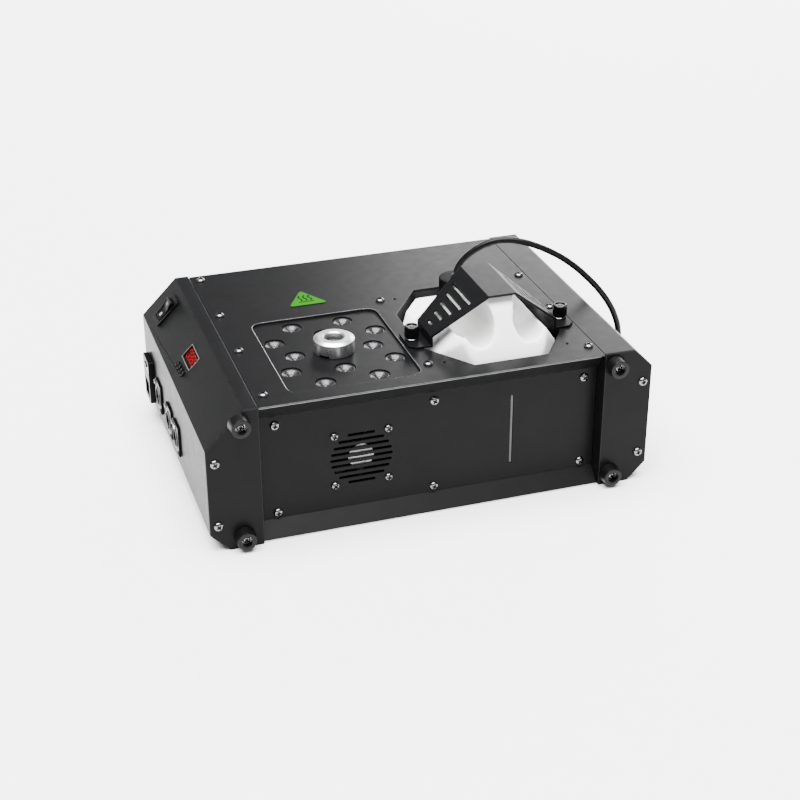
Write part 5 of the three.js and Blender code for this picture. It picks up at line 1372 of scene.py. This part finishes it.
@dataclass
class Sockets:
    """The mains inlet with its fuse drawer, and three round signal sockets."""

    cup_radius: float = 0.0082
    pin_radius: float = 0.00125
    pin_circle: float = 0.004
    screw_x: float = 0.0095
    screw_z: float = 0.012
    pin_span: tuple[float, float] = (0.0019, 0.013)
    latch_lift: float = 0.0038
    latch_half: tuple[float, float, float] = (0.0011, 0.003, 0.0014)
    latch_seat: float = 0.00005
    latch_edge: float = 0.0003

    def build(self) -> None:
        """Refine the sockets and add their metal parts."""
        for node, name in (("power_inlet", "mains_inlet_body"), ("remote_socket", "remote_socket_body"),
                           ("signal_in_socket", "signal_in_body"), ("signal_out_socket", "signal_out_body")):
            mount(dress(smooth(refined(node, name, 0.0003)), PLASTIC), "casing", Slot.PLASTIC, node)
        drawer = refined("fuse_drawer", "fuse_drawer_moulded", 0.00025)
        mount(dress(smooth(drawer), GLOSSY), "fuse", Slot.PLASTIC, "fuse_drawer")
        for node in ("remote_socket", "signal_in_socket", "signal_out_socket"):
            self.shell_ring(node)
        self.pins("signal_in_socket")
        self.latch("signal_out_socket")
        self.screws()

    def shell_ring(self, node: str) -> None:
        """Turn the bright ring round a socket's mouth."""
        r = self.cup_radius
        profile = [(r + 0.0001, 0.00005), (r + 0.0016, 0.00005), (r + 0.0015, 0.0006), (r + 0.0008, 0.0009),
                   (r + 0.0002, 0.0006)]
        ring = turned(f"{node}_ring", profile, 56, ring=True)
        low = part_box(node)[0]
        put(ring, spot((low.x, middle(node).y, middle(node).z), Facing.LEFT))
        mount(dress(smooth(ring, 50), GLOSSY), "casing", Slot.PLASTIC)

    def pins(self, node: str) -> None:
        """Turn gold sleeves over the plug's three pins."""
        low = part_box(node)[0]
        start, end = self.pin_span
        pins = []
        for degrees in (90, 210, 330):
            angle = math.radians(degrees)
            y = middle(node).y + self.pin_circle * math.cos(angle)
            z = middle(node).z + self.pin_circle * math.sin(angle)
            r = self.pin_radius
            pin = turned("pin", [(r, -end), (r, -start - 0.0004), (r * 0.7, -start), (r * 0.3, -start)], 20)
            pins.append(put(pin, spot((low.x, y, z), Facing.LEFT)))
        mount(dress(smooth(joined(f"{node}_pins", pins), 40), GOLD), "casing", Slot.STEEL)

    def latch(self, node: str) -> None:
        """Make the push tab of the latch above a socket's mouth."""
        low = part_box(node)[0]
        y, z = middle(node).y, middle(node).z + self.cup_radius + self.latch_lift
        deep, wide, tall = self.latch_half
        tab = block(f"{node}_tab", (low.x - deep, y - wide, z - tall),
                    (low.x - self.latch_seat, y + wide, z + tall), self.latch_edge)
        mount(dress(smooth(tab), ZINC), "casing", Slot.STEEL)

    def screws(self) -> None:
        """Fix each socket by two screws on a diagonal."""
        with PanHeadScrew(head_radius=0.0026, head_height=0.0016, slot_length=0.003, slot_width=0.0007,
                          slot_depth=0.001) as screws:
            for node in ("remote_socket", "signal_in_socket", "signal_out_socket"):
                low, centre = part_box(node)[0], middle(node)
                for i, side in enumerate((-1, 1), 1):
                    place = (low.x - 0.00005, centre.y + side * self.screw_x, centre.z + side * self.screw_z)
                    screws.fix(f"{node}_screw_{i}", place, Facing.LEFT)


# ---- Sign ---------------------------------------------------------------------------------------------


@dataclass
class HeatSign:
    """A green triangle with three rising waves over a line."""

    wave_height: float = 0.0125
    wave_width: float = 0.0016
    wave_swing: float = 0.0011
    wave_pitch: float = 0.0048
    thickness: float = 0.00012

    def build(self) -> None:
        """Refine the film and print the waves on it."""
        film = refined("heat_sign", "heat_sign_film", 0.0001, 1)
        mount(dress(smooth(film), SIGN_GREEN), "casing", Slot.SIGN, "heat_sign")
        low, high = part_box("heat_sign")
        base = Vector(((low.x + high.x) / 2, low.y + (high.y - low.y) * 0.3, high.z + 0.00002))
        pieces = [self.wave((i - 1) * self.wave_pitch) for i in range(3)]
        half = self.wave_pitch * 1.6
        pieces.append(block("line", (-half, -0.0028, 0), (half, -0.0017, self.thickness)))
        waves = put(joined("heat_sign_waves", pieces), Matrix.Translation(base))
        mount(dress(waves, SIGN_DARK), "casing", Slot.SIGN)

    def wave(self, x: float) -> bpy.types.Object:
        """Make one wave from a strip whose rows are moved from side to side."""
        half = self.wave_width / 2
        strip = block("wave", (x - half, 0, 0), (x + half, self.wave_height, self.thickness))
        with editing(strip):
            bpy.ops.mesh.subdivide(number_cuts=15)
            step = self.wave_height / 16
            for row in range(17):
                swing = self.wave_swing * math.sin(2 * math.pi * row / 16 * 1.15)
                pick_points(strip, lambda p: abs(p.y - row * step) < step / 4)
                bpy.ops.transform.translate(value=(swing, 0, 0))
        return strip


# ---- Inside -------------------------------------------------------------------------------------------


@dataclass
class Inside:
    """Finishes of the CAD solids that show through the openings or when the tank is out."""

    finishes: dict[str, Finish] = field(default_factory=lambda: {
        "tank_well": INSIDE, "heater_block": CAST, "heater_stand": ZINC, "thermostat": PLASTIC,
        "light_board": BOARD, "control_board": BOARD, "power_board": BOARD, "pump_coil": PLASTIC,
        "pump_inlet": ZINC, "pump_outlet": ZINC, "pump_plunger": ZINC, "pump_spring": ZINC,
        "pump_stand": ZINC, "heater_pipe": COPPER, "feed_tube": CLEAR_TUBE, "suction_tube": CLEAR_TUBE,
        "suction_filter": ZINC,
    })

    def build(self) -> None:
        """Give each solid its finish."""
        for node, finish in self.finishes.items():
            dress(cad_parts[node], finish)
            LOG.info("%s finished", node)


# ---- Studio -------------------------------------------------------------------------------------------


@dataclass
class Studio:
    """A pale floor, soft light and the camera."""

    station: tuple[float, float, float] = (-0.4191, -1.3237, 0.7793)
    azimuth: float = -18.12
    elevation: float = 27.93
    roll: float = -0.14
    lens: float = 72.56
    floor_colour: Colour = (0.86, 0.86, 0.86)
    world_strength: float = 0.4
    overhead_power: float = 20.0
    overhead_spread: float = 60.0

    def build(self) -> None:
        """Set up the floor, the lights and the camera."""
        self.floor()
        self.world()
        self.overhead()
        self.softbox("back_light", (2.0, 2.6, 1.35), (2.4, 1.2), 95)
        self.camera()

    def camera(self) -> None:
        """Place the camera."""
        data = bpy.data.cameras.new("camera")
        data.lens = self.lens
        data.sensor_width = 36.0
        camera = bpy.data.objects.new("camera", data)
        bpy.context.scene.collection.objects.link(camera)
        camera.location = self.station
        turn = Matrix.Rotation(math.radians(self.azimuth), 4, "Z") @ Matrix.Rotation(
            math.radians(90 - self.elevation), 4, "X") @ Matrix.Rotation(math.radians(self.roll), 4, "Z")
        camera.rotation_euler = turn.to_euler()
        bpy.context.scene.camera = camera

    def floor(self) -> None:
        """Lay the floor."""
        bpy.ops.object.select_all(action="DESELECT")
        bpy.ops.mesh.primitive_plane_add(size=30)
        floor = fresh("floor")
        dress(floor, Finish("floor_paper", self.floor_colour, 0.7, mottling=0.01, grain_height=0.00001))

    def world(self) -> None:
        """Light everything evenly."""
        world = bpy.data.worlds.new("world")
        world.use_nodes = True
        background = world.node_tree.nodes["Background"]
        background.inputs["Color"].default_value = (1, 1, 1, 1)
        background.inputs["Strength"].default_value = self.world_strength
        bpy.context.scene.world = world

    def overhead(self) -> None:
        """Hang a wide soft light over everything."""
        data = bpy.data.lights.new("overhead_light", "SUN")
        data.energy = self.overhead_power
        data.angle = math.radians(self.overhead_spread)
        light = bpy.data.objects.new("overhead_light", data)
        bpy.context.scene.collection.objects.link(light)
        light.rotation_euler = Vector((0.1, 0.12, -1)).to_track_quat("-Z", "Y").to_euler()

    def softbox(self, name: str, place: Colour, size: tuple[float, float], power: float) -> None:
        """Hang a rectangular light that looks at the machine."""
        data = bpy.data.lights.new(name, "AREA")
        data.shape = "RECTANGLE"
        data.size, data.size_y = size
        data.energy = power
        light = bpy.data.objects.new(name, data)
        bpy.context.scene.collection.objects.link(light)
        light.location = place
        aim = Vector((0, 0, 0.08)) - Vector(place)
        light.rotation_euler = aim.to_track_quat("-Z", "Y").to_euler()


def main() -> None:
    """Build every sub-assembly in order."""
    logging.basicConfig(level=logging.INFO, format="%(name)s: %(message)s")
    for assembly in (Studio(), Hose(), Case(), SightWindow(), Feet(), Lights(), Tank(), Strap(), Fan(),
                     Controls(), Sockets(), HeatSign(), Inside()):
        LOG.info("building %s", type(assembly).__name__)
        assembly.build()


if __name__ == "__main__":
    main()
